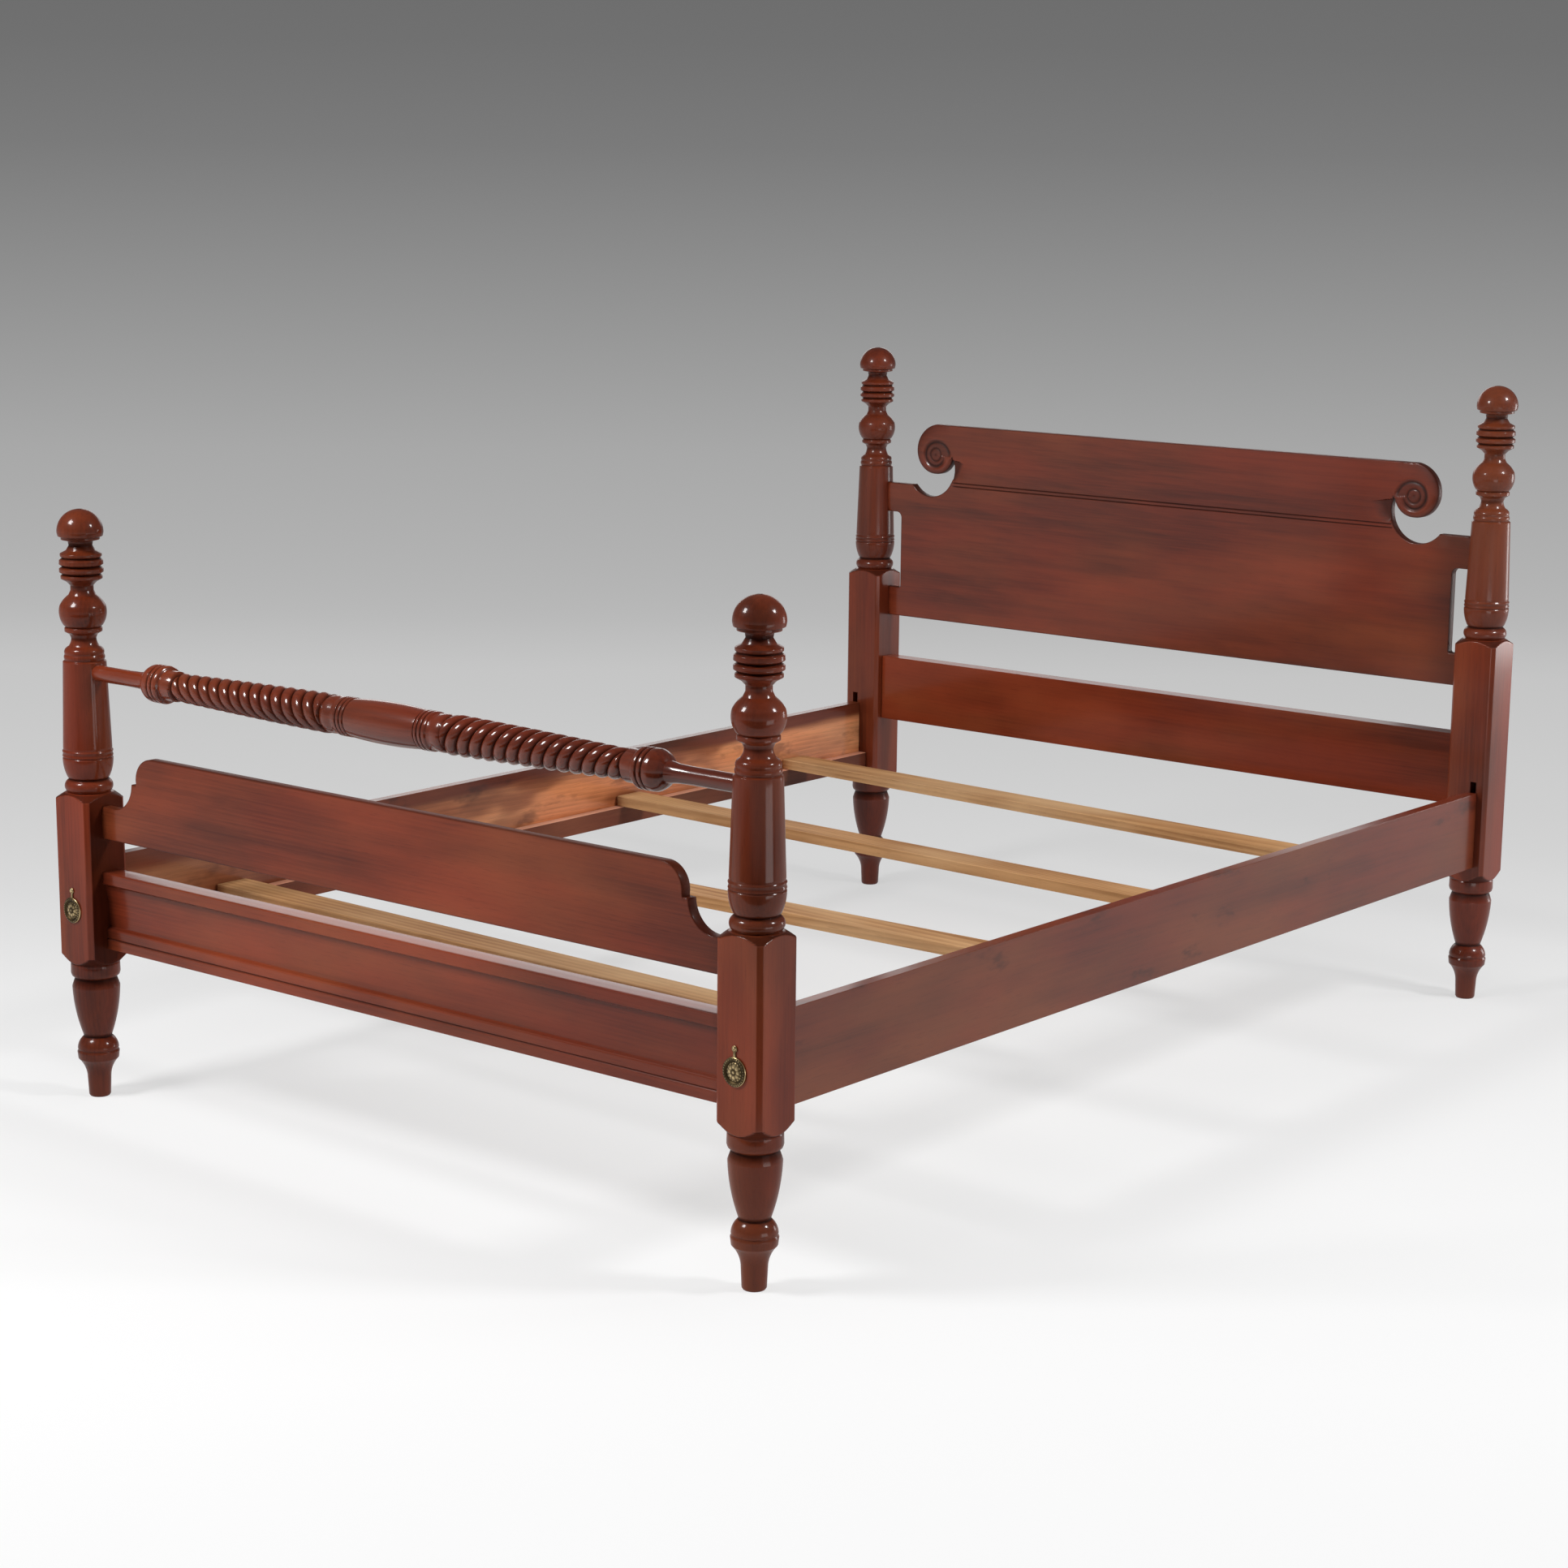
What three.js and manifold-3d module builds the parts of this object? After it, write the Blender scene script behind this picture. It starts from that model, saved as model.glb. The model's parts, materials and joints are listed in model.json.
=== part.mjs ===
// Four-poster bed with turned posts, a rope-turned blanket rail and a headboard with carved scrolls.
// Millimetres. X runs across the bed, Y from the foot to the head, Z up from the floor.
import * as THREE from "three";
import { mergeVertices } from "three/addons/utils/BufferGeometryUtils.js";
import Module from "manifold-3d";

const wasm = await Module();
wasm.setup();

// Overall sizes: post centres, and the heights of the square blocks in the posts.
const POSTS_ACROSS = 1410;
const POSTS_ALONG = 2070;
const BLOCK = 82;
const BLOCK_CHAMFER = 6.5;
const BLOCK_BOTTOM = 228.5;
const FOOT_BLOCK_TOP = 512;
const HEAD_BLOCK_RISE = 165;

// Turned shoulders at both ends of a block: how tall they are and the radius they start from.
const LOW_SHOULDER = 19;
const LOW_SHOULDER_RADIUS = 40;
const TOP_SHOULDER = 12.8;
const TOP_SHOULDER_RADIUS = 38;

// Clearances: between pieces that touch in the real bed, round a tenon, and round a running pin.
const SEAT = 0.3;
const TENON_ROOM = 0.3;
const RUNNING = 0.04;

// Tenons: how far they enter the posts, and how much thinner and lower than the board they are.
const TENON_LENGTH = 30;
const TENON_THICK = 10;
const TENON_SHOULDER = 6;

// Facets round the turned pieces.
const POST_SIDES = 12;
const RAIL_SIDES = 12;
const SMALL_SIDES = 10;
const ROPE_CUTS_PER_TURN = 7;
const PIN_SIDES = 8;

// Side rails and the ledger strips on their inner faces.
const RAIL_THICK = 20;
const RAIL_HEIGHT = 140;
const RAIL_BOTTOM = BLOCK_BOTTOM + 28.5;
const RAIL_SETBACK = 18.5;
const LEDGER_WIDTH = 19;
const LEDGER_HEIGHT = 33.5;
const LEDGER_UP = 1.5;

// Slats, each with its place along the bed and its slant, as they lie loose in the frame.
const SLAT_WIDTH = 63.5;
const SLAT_THICK = 19;
const SLAT_PLAY = 3.5;
const SLAT_EDGE = 1;
const SLATS = [
  { share: -0.368, slant: -0.03 },
  { share: -0.1265, slant: 0.02 },
  { share: 0.1165, slant: -0.035 },
  { share: 0.3545, slant: -0.05 },
];

// Foot rail: a moulded board between the foot posts.
const FOOT_RAIL_BOTTOM = BLOCK_BOTTOM + 28;
const FOOT_RAIL_HEIGHT = 128.5;
const FOOT_RAIL_SETBACK = 28;
const FOOT_RAIL_THICK = 36;

// Footboard panel above the foot rail.
const PANEL_THICK = 18;
const FOOTBOARD_BOTTOM = FOOT_BLOCK_TOP - 72;
const FOOTBOARD_TOP = FOOT_BLOCK_TOP + 73;
const FOOTBOARD_END_TOP = FOOT_BLOCK_TOP - 19;
const FOOTBOARD_SHELF = FOOT_BLOCK_TOP + 27;
const FOOTBOARD_LEVEL_END = 24;
const FOOTBOARD_HOLLOW_END = 75;
const FOOTBOARD_HOLLOW_MIDDLE = { in: 15, down: 34 };
const FOOTBOARD_SHELF_WIDTH = 11;
const FOOTBOARD_STEP = 8;

// Blanket rail: its rope turning runs between two places measured from the middle of the rail.
const BLANKET_HEIGHT = FOOT_BLOCK_TOP + 197;
const ROPE_START = 127;
const ROPE_END = POSTS_ACROSS / 2 - 235;
const ROPE_INNER_RADIUS = 30.5;
const ROPE_OUTER_RADIUS = 22.8;
const ROPE_TAPER = 1.4;
const ROPE_GROOVE = 0.81;
const ROPE_FLANK = 0.965;
const ROPE_STRANDS = 3;
const ROPE_PITCH = 72.3;
const SPINDLE_RADIUS = 13;
const SPINDLE_ENTRY = 22;

// Headboard panel with its two scrolls, and the plain rail below it.
const HEAD_BLOCK_TOP = FOOT_BLOCK_TOP + HEAD_BLOCK_RISE;
const HEADBOARD_BOTTOM = HEAD_BLOCK_TOP - 93;
const HEADBOARD_TOP = HEAD_BLOCK_TOP + 309;
const HEADBOARD_FRONT = -5;
const SLOT_BOTTOM = HEAD_BLOCK_TOP - 34;
const SLOT_TOP = HEAD_BLOCK_TOP + 123;
const SLOT_WIDTH = 30;
const SLOT_CORNER = 12;
const ARM_TOP = HEAD_BLOCK_TOP + 182.6;
const EYE_FROM_POST = 115.5;
const EYE_HEIGHT = HEAD_BLOCK_TOP + 247.5;
const SCROLL_TOP_RADIUS = HEADBOARD_TOP - EYE_HEIGHT;
const SCROLL_LOW_RADIUS = 39.5;
const SCROLL_TIP_RADIUS = 41.5;
const HOLLOW_FROM_POST = 104;
const HOLLOW_HEIGHT = HEAD_BLOCK_TOP + 219.4;
const HOLLOW_RADIUS = 58.4;
const CARVING_DEPTH = 2;
const CURL_STEPS = 12;
const CURL_LEAD = 5;
const CURL_SWEEP = 384;
const CURL_OUTER_RADIUS = 36.5;
const CURL_INNER_RADIUS = 13.7;
const CURL_WIDE = 4.4;
const CURL_NARROW = 2.4;
const LINE_HEIGHTS = [HEAD_BLOCK_TOP + 193, HEAD_BLOCK_TOP + 186];
const LINE_WIDTH = 2.2;
const LINE_DEPTH = 1.2;
const HEAD_RAIL_BOTTOM = BLOCK_BOTTOM + 138;
const HEAD_RAIL_HEIGHT = 131.5;
const HEAD_RAIL_SETBACK = 18;
const HEAD_RAIL_THICK = 36;

// Bed bolts through the foot posts into nuts let into the side rails.
const BOLT_HEIGHT = RAIL_BOTTOM + 63.5;
const BOLT_IN_RAIL = 6.4;
const BOLT_RADIUS = 4;
const BOLT_HEAD = 10;
const BOLT_HEAD_THICK = 6;
const BOLT_RECESS_RADIUS = 7.8;
const BOLT_RECESS_DEPTH = 14;
const NUT_WIDTH = 12.4;
const NUT_THICK = 8;
const NUT_FROM_POST = 55;

// Brass covers over the bolts, each hung from a round-headed pin.
const COVER_HALF_WIDTH = 20.5;
const COVER_HALF_HEIGHT = 21.3;
const COVER_PLATE = 1.6;
const COVER_DOME = 5;
const COVER_PIN_UP = 32.5;
const COVER_INSET = { left: -1, right: 3 };
const COVER_TAB_HALF = 4.6;
const COVER_PIN_RADIUS = 1.5;
const COVER_PIN_DEPTH = 14;
const COVER_PIN_HEAD = 3.2;

// Steel hooks on the head ends of the side rails, over pins across slots in the head posts.
const HOOK_IN_RAIL = 12;
const HOOK_SLOT_WIDTH = 12;
const HOOK_SLOT_DEPTH = 20;
const HOOK_SLOT_ABOVE_RAIL = 20;
const HOOK_PLATE_THICK = 3;
const HOOK_PLATE_HEIGHT = 104;
const HOOK_THICK = 6;
const HOOK_FROM_END = 27;
const HOOK_PIN_RADIUS = 3;
const HOOK_PIN_IN = 6.5;
const HOOK_PIN_LENGTH = 34;
const HOOK_ARM = 11;
const HOOK_NOSE = 5.6;
const HOOK_DROP = 6;
const SCREW_RADIUS = 2;
const SCREW_HEAD_RADIUS = 3.8;
const SCREW_LENGTH = 30;
const SCREW_FROM_END = 6;

// Old screw holes in the inner faces of the head posts.
const OLD_HOLES = [
  { along: -16, up: 356 },
  { along: -19, up: 304 },
];
const OLD_HOLE_RADIUS = 2.6;
const OLD_HOLE_DEPTH = 10;

// Places that follow from the sizes above.
const POST_X = POSTS_ACROSS / 2;
const POST_Y = POSTS_ALONG / 2;
const HALF_BLOCK = BLOCK / 2;
const INNER_X = POST_X - HALF_BLOCK;
const FACE_Y = POST_Y - HALF_BLOCK;
const FRONT_Y = -POST_Y - HALF_BLOCK;
const RAIL_OUT = POST_X + HALF_BLOCK - RAIL_SETBACK;
const RAIL_IN = RAIL_OUT - RAIL_THICK;
const RAIL_TOP = RAIL_BOTTOM + RAIL_HEIGHT;
const LEDGER_TOP = RAIL_BOTTOM + LEDGER_UP + LEDGER_HEIGHT;
const BOLT_X = RAIL_IN + BOLT_IN_RAIL;
const COVER_PIN_Z = BOLT_HEIGHT + COVER_PIN_UP;
const COVER_FACE = FRONT_Y - SEAT;
const HOOK_X = RAIL_IN + HOOK_IN_RAIL;
const HOOK_MIDDLE = RAIL_BOTTOM + RAIL_HEIGHT / 2;
const TENON_END = INNER_X + TENON_LENGTH;
const ROOM = 60;

// Materials.
const paint = (color, roughness, metalness) => ({ color, roughness, metalness });
const CHERRY = paint(0x6e3526, 0.32, 0);
const RAIL_WOOD = paint(0x8a4a30, 0.45, 0);
const SLAT_WOOD = paint(0xc79a68, 0.7, 0);
const BRASS = paint(0x8c7546, 0.4, 1);
const STEEL = paint(0x6f6c68, 0.5, 1);

const at = (x, y) => new THREE.Vector2(x, y);

// A closed solid from a geometry, for joining and cutting.
function solid(geometry) {
  geometry.deleteAttribute("normal");
  geometry.deleteAttribute("uv");
  const joined = mergeVertices(geometry, 1e-4);
  const mesh = new wasm.Mesh({
    numProp: 3,
    vertProperties: new Float32Array(joined.attributes.position.array),
    triVerts: new Uint32Array(joined.index.array),
  });
  return new wasm.Manifold(mesh);
}

// The geometry of a finished solid.
function geometryOf(made) {
  const mesh = made.getMesh();
  const geometry = new THREE.BufferGeometry();
  const corners = new Float32Array(mesh.numVert * 3);
  for (let i = 0; i < mesh.numVert; i++) {
    const from = i * mesh.numProp;
    corners.set(mesh.vertProperties.subarray(from, from + 3), i * 3);
  }
  geometry.setAttribute("position", new THREE.BufferAttribute(corners, 3));
  geometry.setIndex(new THREE.BufferAttribute(mesh.triVerts, 1));
  const faces = geometry.toNonIndexed();
  faces.computeVertexNormals();
  return faces;
}

// A box between two corners; each pair may be given in either order.
function box(x, y, z) {
  const size = [x, y, z].map(([a, b]) => Math.abs(b - a));
  const middle = [x, y, z].map(([a, b]) => (a + b) / 2);
  return solid(new THREE.BoxGeometry(...size).translate(...middle));
}

// A solid of revolution about Z from points of radius and height.
function turned(points, sides) {
  return solid(new THREE.LatheGeometry(points, sides).rotateX(Math.PI / 2));
}

// A solid of revolution whose axis points along X or Y instead of Z.
function turnedAlongX(points, sides) {
  return turned(points, sides).rotate([0, 90, 0]);
}

function turnedAlongY(points, sides) {
  return turned(points, sides).rotate([-90, 0, 0]);
}

// A plain round rod along Y from one place to another.
function rodAlongY(radius, x, from, to, z, sides) {
  const ends = [at(0, from), at(radius, from), at(radius, to), at(0, to)];
  return turnedAlongY(ends, sides).translate([x, 0, z]);
}

function rodAlongX(radius, from, to, y, z, sides) {
  const ends = [at(0, from), at(radius, from), at(radius, to), at(0, to)];
  return turnedAlongX(ends, sides).translate([0, y, z]);
}

// A board with an outline in X and Z, between two places in Y.
function boardAcross(points, front, back) {
  const shape = new THREE.Shape(points);
  const depth = back - front;
  const slab = new THREE.ExtrudeGeometry(shape, { depth, bevelEnabled: false });
  return solid(slab.rotateX(Math.PI / 2).translate(0, back, 0));
}

// A bar with an outline in Y and Z, between two places in X.
function barAcross(points, from, to) {
  const shape = new THREE.Shape(points);
  const slab = new THREE.ExtrudeGeometry(shape, { depth: to - from, bevelEnabled: false });
  const turn = new THREE.Matrix4().makeBasis(
    new THREE.Vector3(0, 1, 0),
    new THREE.Vector3(0, 0, 1),
    new THREE.Vector3(1, 0, 0),
  );
  return solid(slab.applyMatrix4(turn).translate(from, 0, 0));
}

// Adds an arc from the last point of an outline, through a middle point, to its end.
function arcThrough(points, middle, end, steps) {
  const start = points[points.length - 1];
  const a = middle.clone().sub(start);
  const b = end.clone().sub(start);
  const twiceCross = 2 * a.cross(b);
  const centre = at(
    start.x + (b.y * a.lengthSq() - a.y * b.lengthSq()) / twiceCross,
    start.y + (a.x * b.lengthSq() - b.x * a.lengthSq()) / twiceCross,
  );
  const radius = centre.distanceTo(start);
  const turnTo = (point) => {
    const turn = point.clone().sub(centre).angle() - start.clone().sub(centre).angle();
    return (turn + 2 * Math.PI) % (2 * Math.PI);
  };
  const first = start.clone().sub(centre).angle();
  const sweep = turnTo(middle) < turnTo(end) ? turnTo(end) : turnTo(end) - 2 * Math.PI;
  for (let i = 1; i < steps; i++) {
    const angle = first + (sweep * i) / steps;
    points.push(at(centre.x + radius * Math.cos(angle), centre.y + radius * Math.sin(angle)));
  }
  points.push(end);
}

// Adds points round a circle between two angles in degrees.
function arcRound(points, centre, radius, from, to, steps) {
  for (let i = 0; i <= steps; i++) {
    const angle = THREE.MathUtils.degToRad(from + ((to - from) * i) / steps);
    points.push(at(centre.x + radius * Math.cos(angle), centre.y + radius * Math.sin(angle)));
  }
}

// An outline that grows upwards: each call adds radii at heights above the base, in given units.
function outlineFrom(base, unit = 1) {
  const points = [];
  const place = ([radius, up]) => at(radius, base + up * unit);
  return {
    points,
    line: (...steps) => points.push(...steps.map(place)),
    arc: (middle, end, steps) => arcThrough(points, place(middle), place(end), steps),
  };
}

// The leg below the block, from the floor up. Heights are shares of the whole leg.
function legOutline() {
  const leg = outlineFrom(0, BLOCK_BOTTOM);
  leg.line([0, 0], [16, 0], [17.8, 0.013], [19.2, 0.149]);
  leg.arc([23, 0.22], [33, 0.285], 2);
  leg.line([34.3, 0.335], [32.2, 0.352], [33.4, 0.36]);
  leg.arc([31, 0.403], [22.4, 0.449], 2);
  leg.arc([34.3, 0.643], [38.6, 0.823], 2);
  leg.line([33.5, 0.886], [38.5, 0.904], [40, 0.925], [38.8, 1]);
  const inside = at(36, BLOCK_BOTTOM + 15);
  return [...leg.points, inside, at(0, inside.y)];
}

// The turning above the block: torus, cup, tapered column, neck, vase, rings and domed top.
function upperOutline(blockTop) {
  const embed = 30;
  const post = outlineFrom(blockTop);
  post.line([0, -embed], [34, -embed], [34, 0.6]);
  post.arc([38.65, 10.3], [33.5, 20], 2);
  post.line([31, 22], [33.5, 25]);
  post.arc([38.4, 39], [40.3, 56], 2);
  post.line([38.9, 58], [40.6, 60], [39.4, 64], [40.6, 68], [39, 72]);
  post.line([34.5, 213.4], [31.2, 215.8]);
  post.arc([32.6, 220.3], [31, 225], 2);
  post.arc([31.6, 230], [27.5, 236], 2);
  post.line([24, 238.5], [19.8, 251], [22.5, 257.5]);
  post.line([30, 262], [30, 267.5], [28, 269.5], [31, 272]);
  post.arc([37.4, 288], [36.4, 303.5], 2);
  post.arc([31, 312], [22, 320.5], 2);
  post.line([18.4, 328], [18.4, 336], [24, 342]);
  post.line([33, 347], [33, 351.5], [29.5, 354], [35, 357.5], [35, 363], [29.5, 366.5]);
  post.line([35, 370], [34.5, 376.5], [30, 380], [33, 383], [33, 387]);
  post.line([23.5, 392], [18.6, 400], [20, 407]);
  post.line([30.7, 409.5], [30.7, 413.5], [35.5, 415], [36.8, 421]);
  post.arc([26.3, 447.3], [0, 458], 4);
  return post.points;
}

// The square block with chamfered edges and turned shoulders.
function block(blockTop, grow) {
  const half = HALF_BLOCK + grow;
  const flat = half - BLOCK_CHAMFER;
  const corners = [
    [half, -flat], [half, flat], [flat, half], [-flat, half],
    [-half, flat], [-half, -flat], [-flat, -half], [flat, -half],
  ].map(([x, y]) => at(x, y));
  const shape = new THREE.Shape(corners);
  const depth = blockTop - BLOCK_BOTTOM;
  const column = solid(new THREE.ExtrudeGeometry(shape, { depth, bevelEnabled: false }));
  const wide = HALF_BLOCK * Math.SQRT2 + grow;
  const shoulder = [
    at(0, 0), at(LOW_SHOULDER_RADIUS + grow, 0), at(wide, LOW_SHOULDER),
    at(wide, depth - TOP_SHOULDER), at(TOP_SHOULDER_RADIUS + grow, depth), at(0, depth),
  ];
  return column.intersect(turned(shoulder, POST_SIDES)).translate([0, 0, BLOCK_BOTTOM]);
}

// A whole post round its own axis. Growing it gives the room that its neighbours are cut back by.
function post(blockTop, grow = 0) {
  const widen = ({ x, y }) => at(x > 0 ? x + grow : 0, y);
  const leg = turned(legOutline().map(widen), POST_SIDES);
  const upper = turned(upperOutline(blockTop).map(widen), POST_SIDES);
  return block(blockTop, grow).add(leg).add(upper);
}

// The room that both posts at one end of the bed take up.
function postRoom(blockTop, y) {
  const one = post(blockTop, SEAT);
  return one.translate([-POST_X, y, 0]).add(one.translate([POST_X, y, 0]));
}

// Tenons on both ends of a board: each is a box from inside the board into the post.
function tenons(y, bottom, top, room = 0) {
  const half = TENON_THICK / 2 + room;
  const low = bottom + TENON_SHOULDER - room;
  const high = top - TENON_SHOULDER + room;
  const reach = [INNER_X - ROOM / 4, TENON_END + room];
  const right = box(reach, [y - half, y + half], [low, high]);
  return right.add(right.mirror([1, 0, 0]));
}

// A board between two posts: cut back to their surfaces, then given its tenons.
function framed(board, blockTop, postY, tenonY, spans) {
  const shouldered = board.subtract(postRoom(blockTop, postY));
  return spans.reduce(
    (whole, [low, high]) => whole.add(tenons(tenonY, low, high)),
    shouldered,
  );
}

// Mirrors a half outline, drawn from the middle of the bed to its right end.
function bothHalves(half) {
  const left = half.map((point) => at(-point.x, point.y)).reverse();
  return [...half, ...left];
}

// Boards of the foot end.
const FOOTBOARD_SPAN = [FOOTBOARD_BOTTOM, FOOTBOARD_END_TOP];
const FOOT_RAIL_TOP = FOOT_RAIL_BOTTOM + FOOT_RAIL_HEIGHT;
const FOOT_RAIL_SPAN = [FOOT_RAIL_BOTTOM, FOOT_RAIL_TOP];
const FOOT_RAIL_FRONT = FRONT_Y + FOOT_RAIL_SETBACK;
const FOOT_RAIL_BACK = FOOT_RAIL_FRONT + FOOT_RAIL_THICK;
const FOOT_TENON_Y = FOOT_RAIL_BACK - FOOT_RAIL_THICK / 3;

// Footboard outline: a raised middle with a quarter round, a small shelf and a hollow at each end.
function footboardPanel() {
  const roundRadius = FOOTBOARD_TOP - FOOTBOARD_SHELF - FOOTBOARD_STEP;
  const hollowEnd = INNER_X - FOOTBOARD_HOLLOW_END;
  const hollow = at(
    hollowEnd + FOOTBOARD_HOLLOW_MIDDLE.in,
    FOOTBOARD_SHELF - FOOTBOARD_HOLLOW_MIDDLE.down,
  );
  const half = [at(0, FOOTBOARD_BOTTOM), at(TENON_END, FOOTBOARD_BOTTOM)];
  half.push(at(TENON_END, FOOTBOARD_END_TOP));
  half.push(at(INNER_X - FOOTBOARD_LEVEL_END, FOOTBOARD_END_TOP));
  arcThrough(half, hollow, at(hollowEnd, FOOTBOARD_SHELF), 6);
  const shelfEnd = hollowEnd - FOOTBOARD_SHELF_WIDTH;
  half.push(at(shelfEnd, FOOTBOARD_SHELF));
  const centre = at(shelfEnd - roundRadius, FOOTBOARD_TOP - roundRadius);
  arcRound(half, centre, roundRadius, 0, 90, 6);
  half.push(at(0, FOOTBOARD_TOP));
  half.shift();
  half.pop();
  const thick = PANEL_THICK / 2;
  const board = boardAcross(bothHalves(half), -POST_Y - thick, -POST_Y + thick);
  return framed(board, FOOT_BLOCK_TOP, -POST_Y, -POST_Y, [FOOTBOARD_SPAN]);
}

// Foot rail: a lip along the top, a long hollow below it, and two beads near the lower edge.
function footRail() {
  const face = (behind, up) => at(FOOT_RAIL_FRONT + behind, FOOT_RAIL_BOTTOM + up);
  const profile = [face(FOOT_RAIL_THICK, 0), face(FOOT_RAIL_THICK, FOOT_RAIL_HEIGHT)];
  profile.push(face(2, FOOT_RAIL_HEIGHT), face(0, FOOT_RAIL_HEIGHT - 2));
  profile.push(face(0, 110), face(5, 107));
  arcThrough(profile, face(10.8, 74), face(13.5, 41), 4);
  profile.push(face(13.5, 37), face(6.5, 34.5), face(5.5, 32));
  profile.push(face(5.5, 19.5), face(7.5, 17.5), face(5.5, 15.5), face(5.5, 0));
  const board = barAcross(profile, -TENON_END, TENON_END);
  return framed(board, FOOT_BLOCK_TOP, -POST_Y, FOOT_TENON_Y, [FOOT_RAIL_SPAN]);
}

// Blanket rail, drawn along Z from its middle and laid along X afterwards.
function blanketHalf() {
  const middle = outlineFrom(0);
  middle.line([0, 0], [32.2, 0]);
  middle.arc([31.4, 40], [29.3, 73], 2);
  middle.line([27.6, 74], [30, 76], [30, 80], [27.4, 81.8], [30, 83.6], [30, 88.4]);
  middle.line([27.4, 90], [30, 91.8], [29.6, 97], [27.5, 99.5], [27, 105], [28.4, 111]);
  middle.line([28.8, 116], [28.5, 121], [27, ROPE_START], [18, ROPE_START]);
  const end = outlineFrom(ROPE_END);
  end.line([18, 0], [24, 0], [24.2, 27], [28.8, 28.5]);
  end.line([30.5, 32], [30.5, 36.5], [28.4, 39], [30.5, 41.5], [30.5, 46]);
  end.line([28.4, 48.5], [30.5, 51], [30, 59]);
  end.arc([25.4, 68.5], [16, 78], 2);
  end.line([SPINDLE_RADIUS, 105]);
  const tip = POST_X - SPINDLE_ENTRY;
  const spindle = [at(SPINDLE_RADIUS, tip), at(0, tip)];
  return turned([...middle.points, ...end.points, ...spindle], RAIL_SIDES);
}

// Twisted strands between two places along the rail, wound to one hand.
function rope(from, to, hand) {
  const depths = [ROPE_GROOVE, ROPE_FLANK, 1, ROPE_FLANK];
  const across = [0, 0.24, 0.5, 0.76];
  const count = depths.length * ROPE_STRANDS;
  const turns = (to - from) / ROPE_PITCH;
  const sections = Math.ceil(turns * ROPE_CUTS_PER_TURN);
  const corners = [];
  for (let i = 0; i <= sections; i++) {
    const z = from + ((to - from) * i) / sections;
    const twist = (hand * 2 * Math.PI * z) / ROPE_PITCH;
    const thinning = (ROPE_INNER_RADIUS - ROPE_OUTER_RADIUS) * (i / sections) ** ROPE_TAPER;
    for (let k = 0; k < count; k++) {
      const strand = Math.floor(k / depths.length) + across[k % depths.length];
      const angle = twist + (2 * Math.PI * strand) / ROPE_STRANDS;
      const radius = (ROPE_INNER_RADIUS - thinning) * depths[k % depths.length];
      corners.push(radius * Math.cos(angle), radius * Math.sin(angle), z);
    }
  }
  corners.push(0, 0, from, 0, 0, to);
  const first = (sections + 1) * count;
  const faces = [];
  for (let k = 0; k < count; k++) {
    const next = (k + 1) % count;
    faces.push(first, next, k);
    const top = sections * count;
    faces.push(first + 1, top + k, top + next);
    for (let i = 0; i < sections; i++) {
      const low = i * count;
      const high = low + count;
      faces.push(low + k, low + next, high + next, low + k, high + next, high + k);
    }
  }
  const strands = new THREE.BufferGeometry();
  strands.setAttribute("position", new THREE.Float32BufferAttribute(corners, 3));
  return solid(strands.setIndex(faces));
}

function blanketRail() {
  const bite = 1.5;
  const half = blanketHalf().add(rope(ROPE_START - bite, ROPE_END + bite, -1));
  const right = half.rotate([0, 90, 0]);
  const whole = right.add(right.mirror([1, 0, 0]));
  return whole.translate([0, -POST_Y, BLANKET_HEIGHT]);
}

// Headboard outline: level top, scroll, hollow, arm, slot and lower edge.
const HEAD_PANEL_FRONT = POST_Y + HEADBOARD_FRONT;
const HEAD_PANEL_BACK = HEAD_PANEL_FRONT + PANEL_THICK;
const HEAD_TENON_Y = (HEAD_PANEL_FRONT + HEAD_PANEL_BACK) / 2;
const HEAD_SPANS = [[HEADBOARD_BOTTOM, SLOT_BOTTOM], [SLOT_TOP, ARM_TOP]];
const EYE = at(INNER_X - EYE_FROM_POST, EYE_HEIGHT);
const HOLLOW = at(INNER_X - HOLLOW_FROM_POST, HOLLOW_HEIGHT);
const TIP_ANGLE = -175;

// Radius of the scroll's edge at an angle in degrees from the level, clockwise from the top.
function scrollRadius(angle) {
  if (angle < -90) {
    const past = (-90 - angle) / (-90 - TIP_ANGLE);
    return SCROLL_LOW_RADIUS + (SCROLL_TIP_RADIUS - SCROLL_LOW_RADIUS) * past;
  }
  const opened = ((angle + 90) / 180) ** 1.3;
  return SCROLL_LOW_RADIUS + (SCROLL_TOP_RADIUS - SCROLL_LOW_RADIUS) * opened;
}

function onScroll(angle, radius = scrollRadius(angle)) {
  const turn = THREE.MathUtils.degToRad(angle);
  return at(EYE.x + radius * Math.cos(turn), EYE.y + radius * Math.sin(turn));
}

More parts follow.
